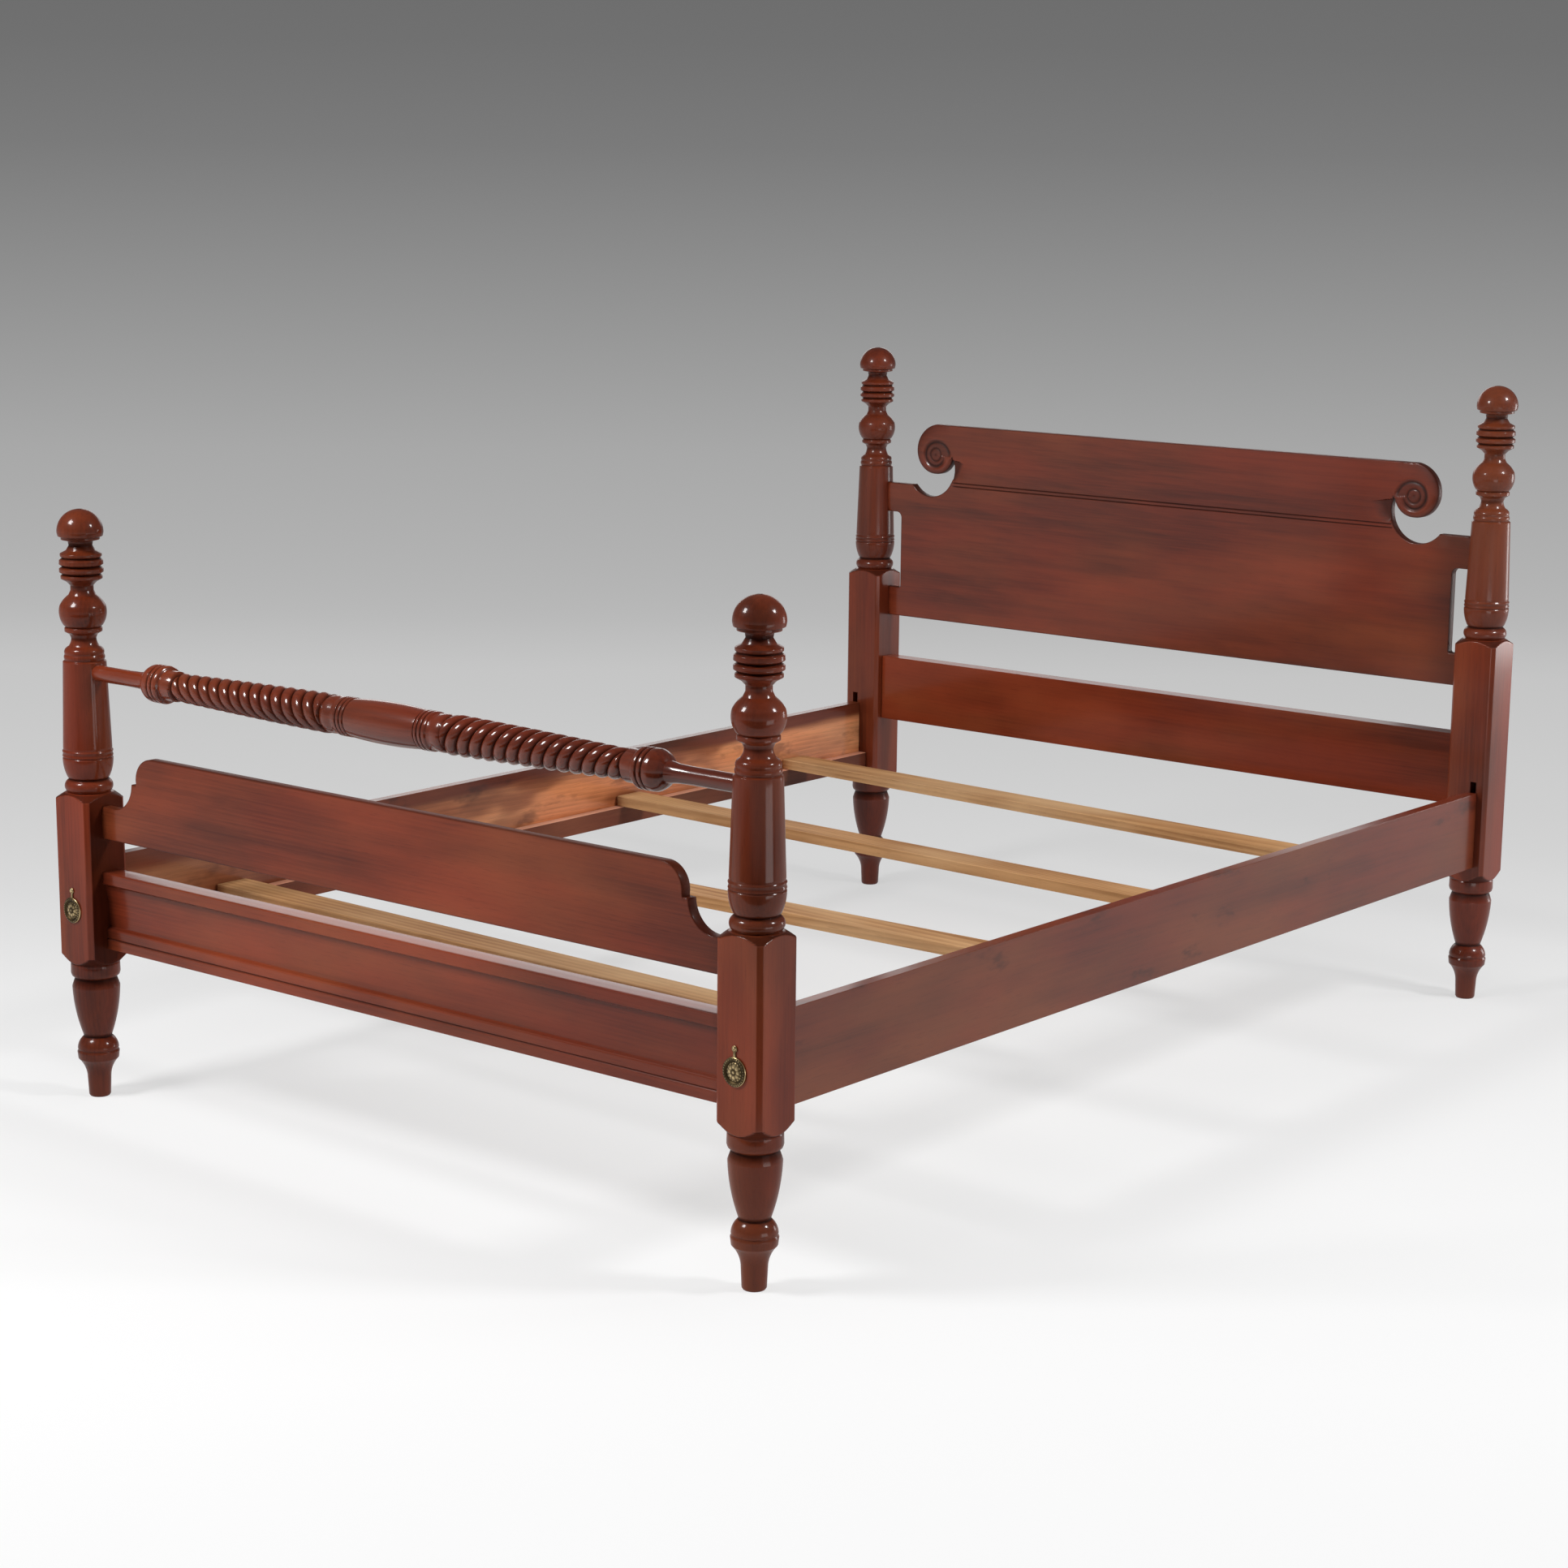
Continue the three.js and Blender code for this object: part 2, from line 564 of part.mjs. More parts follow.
function headboardOutline() {
  const half = [];
  for (let i = 0; i <= 18; i++) half.push(onScroll(90 + ((TIP_ANGLE - 90) * i) / 18));
  const tip = half[half.length - 1];
  const tipTurn = THREE.MathUtils.radToDeg(tip.clone().sub(HOLLOW).angle());
  const crestTurn = 360 - THREE.MathUtils.radToDeg(Math.asin((HOLLOW.y - ARM_TOP) / HOLLOW_RADIUS));
  half.pop();
  arcRound(half, HOLLOW, HOLLOW_RADIUS, tipTurn, crestTurn, 10);
  half.push(at(TENON_END, ARM_TOP), at(TENON_END, SLOT_TOP));
  const slotEdge = INNER_X - SLOT_WIDTH;
  const corner = at(slotEdge + SLOT_CORNER, SLOT_TOP - SLOT_CORNER);
  arcRound(half, corner, SLOT_CORNER, 90, 180, 4);
  const low = SLOT_CORNER / 3;
  arcRound(half, at(slotEdge + low, SLOT_BOTTOM + low), low, 180, 270, 2);
  half.push(at(TENON_END, SLOT_BOTTOM), at(TENON_END, HEADBOARD_BOTTOM));
  return bothHalves(half.reverse());
}

// The carved groove that curls from the notch over the eye of the scroll, narrowing as it goes.
function curl() {
  const outer = [];
  const inner = [];
  for (let i = 0; i <= CURL_STEPS; i++) {
    const share = i / CURL_STEPS;
    const angle = TIP_ANGLE + CURL_LEAD - CURL_SWEEP * share;
    const radius = CURL_OUTER_RADIUS + (CURL_INNER_RADIUS - CURL_OUTER_RADIUS) * share;
    const half = (CURL_WIDE + (CURL_NARROW - CURL_WIDE) * share) / 2;
    outer.push(onScroll(angle, radius + half));
    inner.unshift(onScroll(angle, radius - half));
  }
  const deep = HEAD_PANEL_FRONT + CARVING_DEPTH;
  return boardAcross([...outer, ...inner].reverse(), HEAD_PANEL_FRONT - 1, deep);
}

function headboardPanel() {
  let board = boardAcross(headboardOutline(), HEAD_PANEL_FRONT, HEAD_PANEL_BACK);
  const carved = curl();
  board = board.subtract(carved).subtract(carved.mirror([1, 0, 0]));
  const lineEnd = HOLLOW.x - HOLLOW_RADIUS + 4;
  const half = LINE_WIDTH / 2;
  const deep = [HEAD_PANEL_FRONT - 1, HEAD_PANEL_FRONT + LINE_DEPTH];
  for (const height of LINE_HEIGHTS) {
    board = board.subtract(box([-lineEnd, lineEnd], deep, [height - half, height + half]));
  }
  return framed(board, HEAD_BLOCK_TOP, POST_Y, HEAD_TENON_Y, HEAD_SPANS);
}

// Plain rail below the headboard.
const HEAD_RAIL_TOP = HEAD_RAIL_BOTTOM + HEAD_RAIL_HEIGHT;
const HEAD_RAIL_SPAN = [HEAD_RAIL_BOTTOM, HEAD_RAIL_TOP];
const HEAD_RAIL_FRONT = FACE_Y + HEAD_RAIL_SETBACK;
const HEAD_RAIL_MIDDLE = HEAD_RAIL_FRONT + HEAD_RAIL_THICK / 2;

function headboardRail() {
  const back = HEAD_RAIL_FRONT + HEAD_RAIL_THICK;
  const end = INNER_X - SEAT;
  const board = box([-end, end], [HEAD_RAIL_FRONT, back], HEAD_RAIL_SPAN);
  return board.add(tenons(HEAD_RAIL_MIDDLE, ...HEAD_RAIL_SPAN));
}

// Foot post with its mortises, the bore and recess of the bed bolt, and the hole of the cover's pin.
function footPost(side) {
  const whole = post(FOOT_BLOCK_TOP).translate([side * POST_X, -POST_Y, 0]);
  const x = side * BOLT_X;
  const boreRadius = BOLT_RADIUS + SEAT;
  const recessEnd = FRONT_Y + BOLT_RECESS_DEPTH;
  const pinEnd = FRONT_Y + COVER_PIN_DEPTH;
  const spindle = SPINDLE_RADIUS + TENON_ROOM;
  const spindleEnd = POST_X - SPINDLE_ENTRY + TENON_ROOM;
  return whole
    .subtract(tenons(-POST_Y, ...FOOTBOARD_SPAN, TENON_ROOM))
    .subtract(tenons(FOOT_TENON_Y, ...FOOT_RAIL_SPAN, TENON_ROOM))
    .subtract(rodAlongX(spindle, -spindleEnd, spindleEnd, -POST_Y, BLANKET_HEIGHT, RAIL_SIDES))
    .subtract(rodAlongY(boreRadius, x, FRONT_Y - 1, -FACE_Y + 1, BOLT_HEIGHT, PIN_SIDES))
    .subtract(rodAlongY(BOLT_RECESS_RADIUS, x, FRONT_Y - 1, recessEnd, BOLT_HEIGHT, SMALL_SIDES))
    .subtract(rodAlongY(
      COVER_PIN_RADIUS + SEAT, coverX(side), FRONT_Y - 1, pinEnd + SEAT, COVER_PIN_Z, PIN_SIDES,
    ));
}

// Two heights on the hook plate, each at one distance from an end of the plate.
function fromPlateEnds(distance) {
  const half = HOOK_PLATE_HEIGHT / 2 - distance;
  return [HOOK_MIDDLE - half, HOOK_MIDDLE + half];
}

// Heights of the two hooks of one rail and of the plate's screws, and where the hooks' pins cross.
const HOOK_HEIGHTS = fromPlateEnds(HOOK_FROM_END);
const SCREW_HEIGHTS = fromPlateEnds(SCREW_FROM_END);
const HOOK_PIN_Y = FACE_Y + HOOK_PIN_IN;

// Head post with its mortises, the slot for the rail's hooks, the holes of its pins and old screw holes.
function headPost(side) {
  const whole = post(HEAD_BLOCK_TOP).translate([side * POST_X, POST_Y, 0]);
  const half = HOOK_SLOT_WIDTH / 2;
  const slotBottom = HOOK_MIDDLE - HOOK_PLATE_HEIGHT / 2;
  const slot = box(
    [side * (HOOK_X - half), side * (HOOK_X + half)],
    [FACE_Y - 1, FACE_Y + HOOK_SLOT_DEPTH],
    [slotBottom, RAIL_TOP + HOOK_SLOT_ABOVE_RAIL],
  );
  let cut = whole.subtract(slot).subtract(tenons(HEAD_RAIL_MIDDLE, ...HEAD_RAIL_SPAN, TENON_ROOM));
  for (const span of HEAD_SPANS) cut = cut.subtract(tenons(HEAD_TENON_Y, ...span, TENON_ROOM));
  for (const height of HOOK_HEIGHTS) {
    cut = cut.subtract(hookPin(side, height, SEAT));
  }
  for (const { along, up } of OLD_HOLES) {
    const reach = INNER_X + OLD_HOLE_DEPTH;
    cut = cut.subtract(rodAlongX(OLD_HOLE_RADIUS, -reach, reach, POST_Y + along, up, PIN_SIDES));
  }
  return cut;
}

// Steel pin across the slot of a head post.
function hookPin(side, height, room = 0) {
  const half = HOOK_PIN_LENGTH / 2 + room;
  const middle = side * HOOK_X;
  const radius = HOOK_PIN_RADIUS + room;
  return rodAlongX(radius, middle - half, middle + half, HOOK_PIN_Y, height, PIN_SIDES);
}

// Outline in Y and Z of a rail's hook plate with its two hooks.
function hookPlate(side) {
  const flush = FACE_Y - SEAT;
  const back = flush - HOOK_PLATE_THICK;
  const half = HOOK_SLOT_WIDTH / 2 - SEAT;
  const tall = HOOK_PLATE_HEIGHT / 2;
  const across = (width) => [side * HOOK_X - width, side * HOOK_X + width];
  let plate = box(across(half), [back, flush], [HOOK_MIDDLE - tall, HOOK_MIDDLE + tall]);
  const clear = HOOK_PIN_RADIUS + SEAT;
  for (const height of HOOK_HEIGHTS) {
    const noseFront = HOOK_PIN_Y + clear;
    const noseBack = noseFront + HOOK_NOSE;
    const outline = [
      at(back + 1, height + clear), at(noseFront, height + clear),
      at(noseFront, height - HOOK_DROP), at(noseBack - 2, height - HOOK_DROP),
      at(noseBack, height - HOOK_DROP + 2), at(noseBack, height + clear + HOOK_ARM - 4),
      at(noseBack - 4, height + clear + HOOK_ARM), at(back + 1, height + clear + HOOK_ARM),
    ];
    const [from, to] = across(HOOK_THICK / 2);
    plate = plate.add(barAcross(outline, from, to));
  }
  for (const height of SCREW_HEIGHTS) plate = plate.subtract(plateScrew(side, height, SEAT));
  return plate;
}

// Countersunk screw that holds the hook plate on the end of the rail.
function plateScrew(side, height, room = 0) {
  const face = FACE_Y - SEAT;
  const neck = HOOK_PLATE_THICK - 1;
  const points = [
    at(0, -SCREW_LENGTH - room), at(SCREW_RADIUS + room, -SCREW_LENGTH - room),
    at(SCREW_RADIUS + room, -neck), at(SCREW_HEAD_RADIUS + room, -SEAT),
  ];
  if (room) points.push(at(SCREW_HEAD_RADIUS + room, 1), at(0, 1));
  else points.push(at(0, -SEAT));
  return turnedAlongY(points, PIN_SIDES).translate([side * HOOK_X, face, height]);
}

// Side rail: bored for the bed bolt at the foot, cut for its nut, and let in for the hook plate.
function sideRail(side) {
  const end = FACE_Y - SEAT;
  const across = [side * RAIL_IN, side * RAIL_OUT];
  const nut = nutPlace(side, SEAT);
  const boreEnd = -FACE_Y + NUT_FROM_POST + NUT_THICK + 14;
  const tall = HOOK_PLATE_HEIGHT / 2 + SEAT;
  const wide = HOOK_SLOT_WIDTH / 2;
  const letIn = box(
    [side * HOOK_X - wide, side * HOOK_X + wide],
    [end - HOOK_PLATE_THICK - SEAT, end + 1],
    [HOOK_MIDDLE - tall, HOOK_MIDDLE + tall],
  );
  let rail = box(across, [-end, end], [RAIL_BOTTOM, RAIL_TOP]);
  rail = rail.subtract(nut).subtract(letIn);
  rail = rail.subtract(
    rodAlongY(BOLT_RADIUS + SEAT, side * BOLT_X, -end - 1, boreEnd, BOLT_HEIGHT, PIN_SIDES),
  );
  for (const height of SCREW_HEIGHTS) rail = rail.subtract(plateScrew(side, height, SEAT));
  return rail;
}

// The nut, or the pocket for it, which opens on the rail's inner face.
function nutPlace(side, room = 0) {
  const half = NUT_WIDTH / 2 + room;
  const inner = room ? RAIL_IN - 1 : BOLT_X - half;
  const near = -FACE_Y + NUT_FROM_POST - room;
  return box(
    [side * inner, side * (BOLT_X + half)],
    [near, near + NUT_THICK + 2 * room],
    [BOLT_HEIGHT - half, BOLT_HEIGHT + half],
  );
}

function nut(side) {
  const bore = rodAlongY(
    BOLT_RADIUS + SEAT, side * BOLT_X, -FACE_Y, 0, BOLT_HEIGHT, PIN_SIDES,
  );
  return nutPlace(side).subtract(bore);
}

function bedBolt(side) {
  const headBack = FRONT_Y + BOLT_RECESS_DEPTH - SEAT;
  const half = BOLT_HEAD / 2;
  const x = side * BOLT_X;
  const head = box(
    [x - half, x + half],
    [headBack - BOLT_HEAD_THICK, headBack],
    [BOLT_HEIGHT - half, BOLT_HEIGHT + half],
  );
  const tip = -FACE_Y + NUT_FROM_POST + NUT_THICK + 10;
  return head.add(rodAlongY(BOLT_RADIUS, x, headBack - 1, tip, BOLT_HEIGHT, PIN_SIDES));
}

// Ledger strip along the inner face of a side rail.
function ledger(side) {
  const outer = RAIL_IN - SEAT;
  const end = FACE_Y - 4 * SEAT;
  const bottom = RAIL_BOTTOM + LEDGER_UP;
  return box([side * outer, side * (outer - LEDGER_WIDTH)], [-end, end], [bottom, LEDGER_TOP]);
}

// A loose slat with eased long edges.
function slat({ share, slant }) {
  const length = 2 * (RAIL_IN - SLAT_PLAY);
  const half = SLAT_WIDTH / 2;
  const low = LEDGER_TOP + SEAT;
  const high = low + SLAT_THICK;
  const profile = [
    at(-half, low), at(half, low), at(half, high - SLAT_EDGE), at(half - SLAT_EDGE, high),
    at(SLAT_EDGE - half, high), at(-half, high - SLAT_EDGE),
  ];
  const board = barAcross(profile, -length / 2, length / 2);
  const turn = THREE.MathUtils.radToDeg(Math.atan(slant));
  return board.rotate([0, 0, turn]).translate([0, share * POSTS_ALONG, 0]);
}

// Where a cover and its pin stand across the bed.
function coverX(side) {
  return side * (POST_X - (side < 0 ? COVER_INSET.left : COVER_INSET.right));
}

// Bolt cover: a thin oval shell with a rim and a dome, and a tab with a hole for its pin.
function boltCover(side) {
  const wide = COVER_HALF_WIDTH;
  const shell = [
    at(0, -COVER_DOME), at(wide * 0.36, 0.4 - COVER_DOME), at(wide * 0.62, 1.8 - COVER_DOME),
    at(wide * 0.7, -COVER_PLATE), at(wide * 0.85, -COVER_PLATE - 1.2), at(wide, -COVER_PLATE),
    at(wide, 0), at(wide * 0.66, 0), at(wide * 0.55, 2.8 - COVER_DOME),
    at(wide * 0.34, 1.6 - COVER_DOME), at(0, 1.2 - COVER_DOME),
  ];
  const oval = turnedAlongY(shell, SMALL_SIDES)
    .scale([1, 1, COVER_HALF_HEIGHT / COVER_HALF_WIDTH])
    .translate([0, 0, BOLT_HEIGHT]);
  const tab = [at(-COVER_TAB_HALF * 0.7, BOLT_HEIGHT + COVER_HALF_HEIGHT - 2)];
  tab.push(at(COVER_TAB_HALF * 0.7, BOLT_HEIGHT + COVER_HALF_HEIGHT - 2));
  arcRound(tab, at(0, COVER_PIN_Z), COVER_TAB_HALF, -30, 210, 10);
  const hang = boardAcross(tab, -COVER_PLATE, 0);
  const holeRadius = (COVER_PIN_RADIUS + RUNNING) / Math.cos(Math.PI / SMALL_SIDES);
  const hole = rodAlongY(holeRadius, 0, -COVER_PLATE - 1, 1, COVER_PIN_Z, SMALL_SIDES);
  return oval.add(hang).subtract(hole).translate([coverX(side), COVER_FACE, 0]);
}

// Round-headed pin that the cover hangs from.
function coverPin(side) {
  const plate = COVER_PLATE + 2 * SEAT;
  const points = [
    at(0, COVER_PIN_DEPTH), at(COVER_PIN_RADIUS, COVER_PIN_DEPTH - 2),
    at(COVER_PIN_RADIUS, -plate), at(COVER_PIN_HEAD, -plate),
    at(COVER_PIN_HEAD * 0.75, -plate - 1.2), at(0, -plate - 1.8),
  ].reverse();
  return turnedAlongY(points, SMALL_SIDES).translate([coverX(side), FRONT_Y, COVER_PIN_Z]);
}

// The bed, with the frame's origin below the middle of everything that stands on the floor.
const bed = new THREE.Group();

function put(name, made, look) {
  const mesh = new THREE.Mesh(geometryOf(made), new THREE.MeshStandardMaterial(look));
  mesh.name = name;
  bed.add(mesh);
}

put("blanket_rail", blanketRail(), CHERRY);
put("footboard_panel", footboardPanel(), CHERRY);
put("foot_rail", footRail(), CHERRY);
put("headboard_panel", headboardPanel(), CHERRY);
put("headboard_rail", headboardRail(), CHERRY);
SLATS.forEach((place, i) => put(`slat_${i + 1}`, slat(place), SLAT_WOOD));

for (const [word, side] of [["left", -1], ["right", 1]]) {
  put(`foot_post_${word}`, footPost(side), CHERRY);
  put(`head_post_${word}`, headPost(side), CHERRY);
  put(`side_rail_${word}`, sideRail(side), RAIL_WOOD);
  put(`ledger_${word}`, ledger(side), RAIL_WOOD);
  put(`bed_bolt_${word}`, bedBolt(side), STEEL);
  put(`bed_nut_${word}`, nut(side), STEEL);
  put(`bolt_cover_${word}`, boltCover(side), BRASS);
  put(`cover_pin_${word}`, coverPin(side), BRASS);
  put(`hook_plate_${word}`, hookPlate(side), STEEL);
  HOOK_HEIGHTS.forEach((height, i) => {
    put(`hook_pin_${word}_${i + 1}`, hookPin(side, height), STEEL);
  });
  SCREW_HEIGHTS.forEach((height, i) => {
    put(`plate_screw_${word}_${i + 1}`, plateScrew(side, height), STEEL);
  });
}

const extent = new THREE.Box3().setFromObject(bed);
bed.position.y = -(extent.min.y + extent.max.y) / 2;

export default bed;
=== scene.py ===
import json
import math
import random

import bpy
import numpy as np
from mathutils import Matrix, Vector
from mathutils.geometry import delaunay_2d_cdt


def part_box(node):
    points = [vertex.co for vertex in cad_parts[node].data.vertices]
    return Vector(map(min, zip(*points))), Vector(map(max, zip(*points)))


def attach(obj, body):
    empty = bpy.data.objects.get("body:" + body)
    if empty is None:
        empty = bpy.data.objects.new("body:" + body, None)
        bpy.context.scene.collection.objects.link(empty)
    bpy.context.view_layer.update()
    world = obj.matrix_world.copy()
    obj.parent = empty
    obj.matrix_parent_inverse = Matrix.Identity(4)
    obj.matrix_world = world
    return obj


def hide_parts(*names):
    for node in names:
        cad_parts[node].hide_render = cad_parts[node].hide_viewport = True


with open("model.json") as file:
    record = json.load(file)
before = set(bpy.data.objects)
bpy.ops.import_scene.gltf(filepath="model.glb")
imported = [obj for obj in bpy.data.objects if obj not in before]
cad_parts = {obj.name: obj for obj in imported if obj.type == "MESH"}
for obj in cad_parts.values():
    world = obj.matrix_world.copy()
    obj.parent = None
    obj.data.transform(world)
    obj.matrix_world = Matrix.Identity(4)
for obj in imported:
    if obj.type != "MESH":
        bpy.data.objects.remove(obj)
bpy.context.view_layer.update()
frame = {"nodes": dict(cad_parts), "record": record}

MM = 0.001
X, Y, Z = 0, 1, 2
# How far behind the frame's origin the middle of the bed lies, in metres.
SHIFT = sum(corner.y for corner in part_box("side_rail_left")) / 2


def span(node, axis):
    """The lowest and the highest place of a CAD node on an axis."""
    shift = SHIFT if axis == Y else 0.0
    return [round((corner[axis] - shift) / MM, 2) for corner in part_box(node)]


def middle(node, axis):
    return round(sum(span(node, axis)) / 2, 2)


# Sizes repeated from the part's source.
UPPER_HEIGHT = 458.0
BLOCK_BOTTOM = 228.5
BLOCK_CHAMFER = 6.5
ROPE_START = 127.0
ROPE_END = 470.0
ROPE_PITCH = 72.3
ROPE_STRANDS = 3
ROPE_INNER_RADIUS = 30.5
ROPE_OUTER_RADIUS = 22.8
ROPE_TAPER = 1.4
BOLT_RECESS_RADIUS = 7.8
BOLT_RECESS_DEPTH = 14
BOLT_HOLE_RADIUS = 4.3
COVER_PIN_DEPTH = 14
PIN_HOLE_RADIUS = 1.8
HOOK_SLOT_WIDTH = 12
HOOK_SLOT_DEPTH = 20
HOOK_SLOT_HEIGHTS = (275, 417)
HOOK_HOLE_RADIUS = 3.3
HOOK_HOLE_LENGTH = 34.6
OLD_HOLE_RADIUS = 2.6
OLD_HOLE_PLACES = ((-16, 356), (-19, 304))
COVER_GAP = 0.3
COVER_HALF_WIDTH = 20.5
COVER_HALF_HEIGHT = 21.3
# How far rails and boards run into the posts.
INTO_POST = 2.0

# Sizes and places that the frame gives.
POST_X = middle("foot_post_right", X)
POST_Y = middle("head_post_right", Y)
INNER_X = span("foot_post_right", X)[0]
HALF_BLOCK = POST_X - INNER_X
FRONT_Y = span("foot_post_right", Y)[0]
FACE_Y = span("head_post_right", Y)[0]
FOOT_BLOCK_TOP = span("foot_post_right", Z)[1] - UPPER_HEIGHT
HEAD_BLOCK_TOP = span("head_post_right", Z)[1] - UPPER_HEIGHT
BLANKET_HEIGHT = middle("blanket_rail", Z)
BOLT_X = middle("bed_bolt_right", X)
BOLT_HEIGHT = middle("bed_bolt_right", Z)
COVER_PIN_HEIGHT = middle("cover_pin_left", Z)
HOOK_X = middle("hook_plate_right", X)
HOOK_PIN_Y = middle("hook_pin_right_1", Y)
HOOK_PIN_HEIGHTS = [middle(f"hook_pin_right_{i}", Z) for i in (1, 2)]
RAIL_INNER = span("side_rail_right", X)[0] * MM
LEDGER_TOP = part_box("ledger_left")[1].z
SIDES = (("left", -1), ("right", 1))

# How dark points are painted, from 0 to 1, where flat open faces have 0: a darker stain on turnings,
# painted shade on the block shoulders, on the foot posts' inner faces and in grooves, and darker
# eased edges.
TURNED_SHADE = 0.33
SHOULDER_SHADE = 0.75
INNER_SHADE = 0.7
RAIL_SHADE = 0.3
EDGE_SHADE = 0.7

# How finely curves are drawn.
TOLERANCE = 0.02
LONGEST_STEP = 25
OUTLINE_STEP = 9.0
LATTICE_STEP = 26.0
ROPE_STEP = 2.4
CREASE = math.radians(38)


# Profiles and outlines

def arc(start, middle, end, steps):
    """Points after the start on the circle through three points."""
    a = np.subtract(middle, start)
    b = np.subtract(end, start)
    cross = 2 * (a[0] * b[1] - a[1] * b[0])
    centre = np.array([
        start[0] + (b[1] * a.dot(a) - a[1] * b.dot(b)) / cross,
        start[1] + (a[0] * b.dot(b) - b[0] * a.dot(a)) / cross,
    ])
    radius = np.hypot(*(np.array(start) - centre))

    def direction(point):
        return math.atan2(point[1] - centre[1], point[0] - centre[0])

    first = direction(start)
    to_middle = (direction(middle) - first) % (2 * math.pi)
    to_end = (direction(end) - first) % (2 * math.pi)
    sweep = to_end if to_middle < to_end else to_end - 2 * math.pi
    angles = [first + sweep * i / steps for i in range(1, steps + 1)]
    return [(centre[0] + radius * math.cos(t), centre[1] + radius * math.sin(t)) for t in angles]


def arc_round(centre, radius, start, end, steps):
    """Points round a circle between two angles in degrees, both ends included."""
    angles = [math.radians(start + (end - start) * i / steps) for i in range(steps + 1)]
    return [(centre[0] + radius * math.cos(t), centre[1] + radius * math.sin(t)) for t in angles]


class Profile:
    """A turning's outline of radii at heights above a base, which grows upwards."""

    def __init__(self, base=0.0, unit=1.0):
        self.base = base
        self.unit = unit
        self.points = []

    def place(self, step):
        return (step[0], self.base + step[1] * self.unit)

    def line(self, *steps):
        self.points += [self.place(step) for step in steps]

    def arc(self, middle, end, steps=14):
        self.points += arc(self.points[-1], self.place(middle), self.place(end), steps)


def leg_profile():
    """The leg, at shares of its height."""
    leg = Profile(0.0, BLOCK_BOTTOM)
    leg.line([0, 0], [16, 0], [17.8, 0.013], [19.2, 0.149])
    leg.arc([23, 0.22], [33, 0.285])
    leg.line([34.3, 0.335], [32.2, 0.352], [33.4, 0.36])
    leg.arc([31, 0.403], [22.4, 0.449])
    leg.arc([34.3, 0.643], [38.6, 0.823], 24)
    leg.line([33.5, 0.886], [38.5, 0.904], [40, 0.925], [39.6, 0.991], [38.4, 1])
    return leg.points


def shoulder_profile(block_top):
    """What the lathe left of the block's corners at its two ends."""
    wide = HALF_BLOCK * math.sqrt(2)
    return [
        (40, BLOCK_BOTTOM + 0.4),
        (wide, BLOCK_BOTTOM + 19),
        (wide, block_top - 12.8),
        (38, block_top),
    ]


def upper_profile(block_top):
    """The turning above the block, from its torus to the ball on top."""
    post = Profile(block_top)
    post.line([34, 0.6])
    post.arc([38.65, 10.3], [33.5, 20])
    post.line([31, 22], [33.5, 25])
    post.arc([38.4, 39], [40.3, 56])
    post.line([38.9, 58], [40.6, 60], [39.4, 64], [40.6, 68], [38.7, 71], [39.15, 73])
    post.line([34.5, 213.4], [31.2, 215.8])
    post.arc([32.6, 220.3], [31, 225])
    post.arc([31.6, 230], [27.5, 236])
    post.line([24, 238.5])
    post.arc([20.6, 246], [19.8, 251])
    post.line([22.5, 257.5])
    post.line([30, 262], [30, 267.5], [28, 269.5], [31, 272])
    post.arc([37.4, 288], [36.4, 303.5])
    post.arc([31, 312], [22, 320.5])
    post.line([18.4, 328], [18.4, 336], [24, 342])
    post.line([33, 347], [33, 351.5], [29.5, 354], [35, 357.5], [35, 363], [29.5, 366.5])
    post.line([35, 370], [34.5, 376.5], [30, 380], [33, 383], [33, 387])
    post.line([23.5, 392], [18.6, 400], [20, 407])
    post.line([30.7, 409.5], [30.7, 413.5], [35.5, 415], [36.8, 421])
    post.arc([26.3, 447.3], [0, UPPER_HEIGHT], 24)
    return post.points


def blanket_profiles():
    """Half of the blanket rail: its middle up to the rope, and from the rope to its spindle's tip."""
    barrel = Profile()
    barrel.line([32.2, 0])
    barrel.arc([31.4, 40], [29.3, 73])
    barrel.line([27.6, 74], [30, 76], [30, 80], [27.4, 81.8], [30, 83.6], [30, 88.4])
    barrel.line([27.4, 90], [30, 91.8], [29.6, 97], [27.5, 99.5], [27, 105], [28.4, 111])
    barrel.line([28.8, 116], [28.5, 121], [26.4, ROPE_START])
    end = Profile(ROPE_END)
    end.line([23.4, 0], [24.2, 6], [24.2, 27], [28.8, 28.5])
    end.line([30.5, 32], [30.5, 36.5], [28.4, 39], [30.5, 41.5], [30.5, 46])
    end.line([28.4, 48.5], [30.5, 51], [30, 59])
    end.arc([25.4, 68.5], [16, 78])
    end.line([13.6, 96], [13, 120], [13, POST_X - 22 - ROPE_END])
    return barrel.points, end.points


def spaced(points, step):
    """The same line with points no further apart than a step."""
    made = [np.array(points[0], float)]
    for start, end in zip(points[:-1], points[1:]):
        start, end = np.array(start, float), np.array(end, float)
        count = max(1, math.ceil(np.hypot(*(end - start)) / step))
        made += [start + (end - start) * i / count for i in range(1, count + 1)]
    return np.array(made)


def softened(points, soften, step=0.25):
    """A line with its corners rounded over a few tenths of a millimetre."""
    line = spaced(points, step)
    reach = int(3 * soften / step)
    weights = np.exp(-0.5 * (np.arange(-reach, reach + 1) * step / soften) ** 2)
    weights /= weights.sum()
    smooth = line.copy()
    for axis in (0, 1):
        before = 2 * line[0, axis] - line[reach:0:-1, axis]
        after = 2 * line[-1, axis] - line[-2:-reach - 2:-1, axis]
        padded = np.concatenate([before, line[:, axis], after])
        smooth[:, axis] = np.convolve(padded, weights, mode="valid")
    return smooth


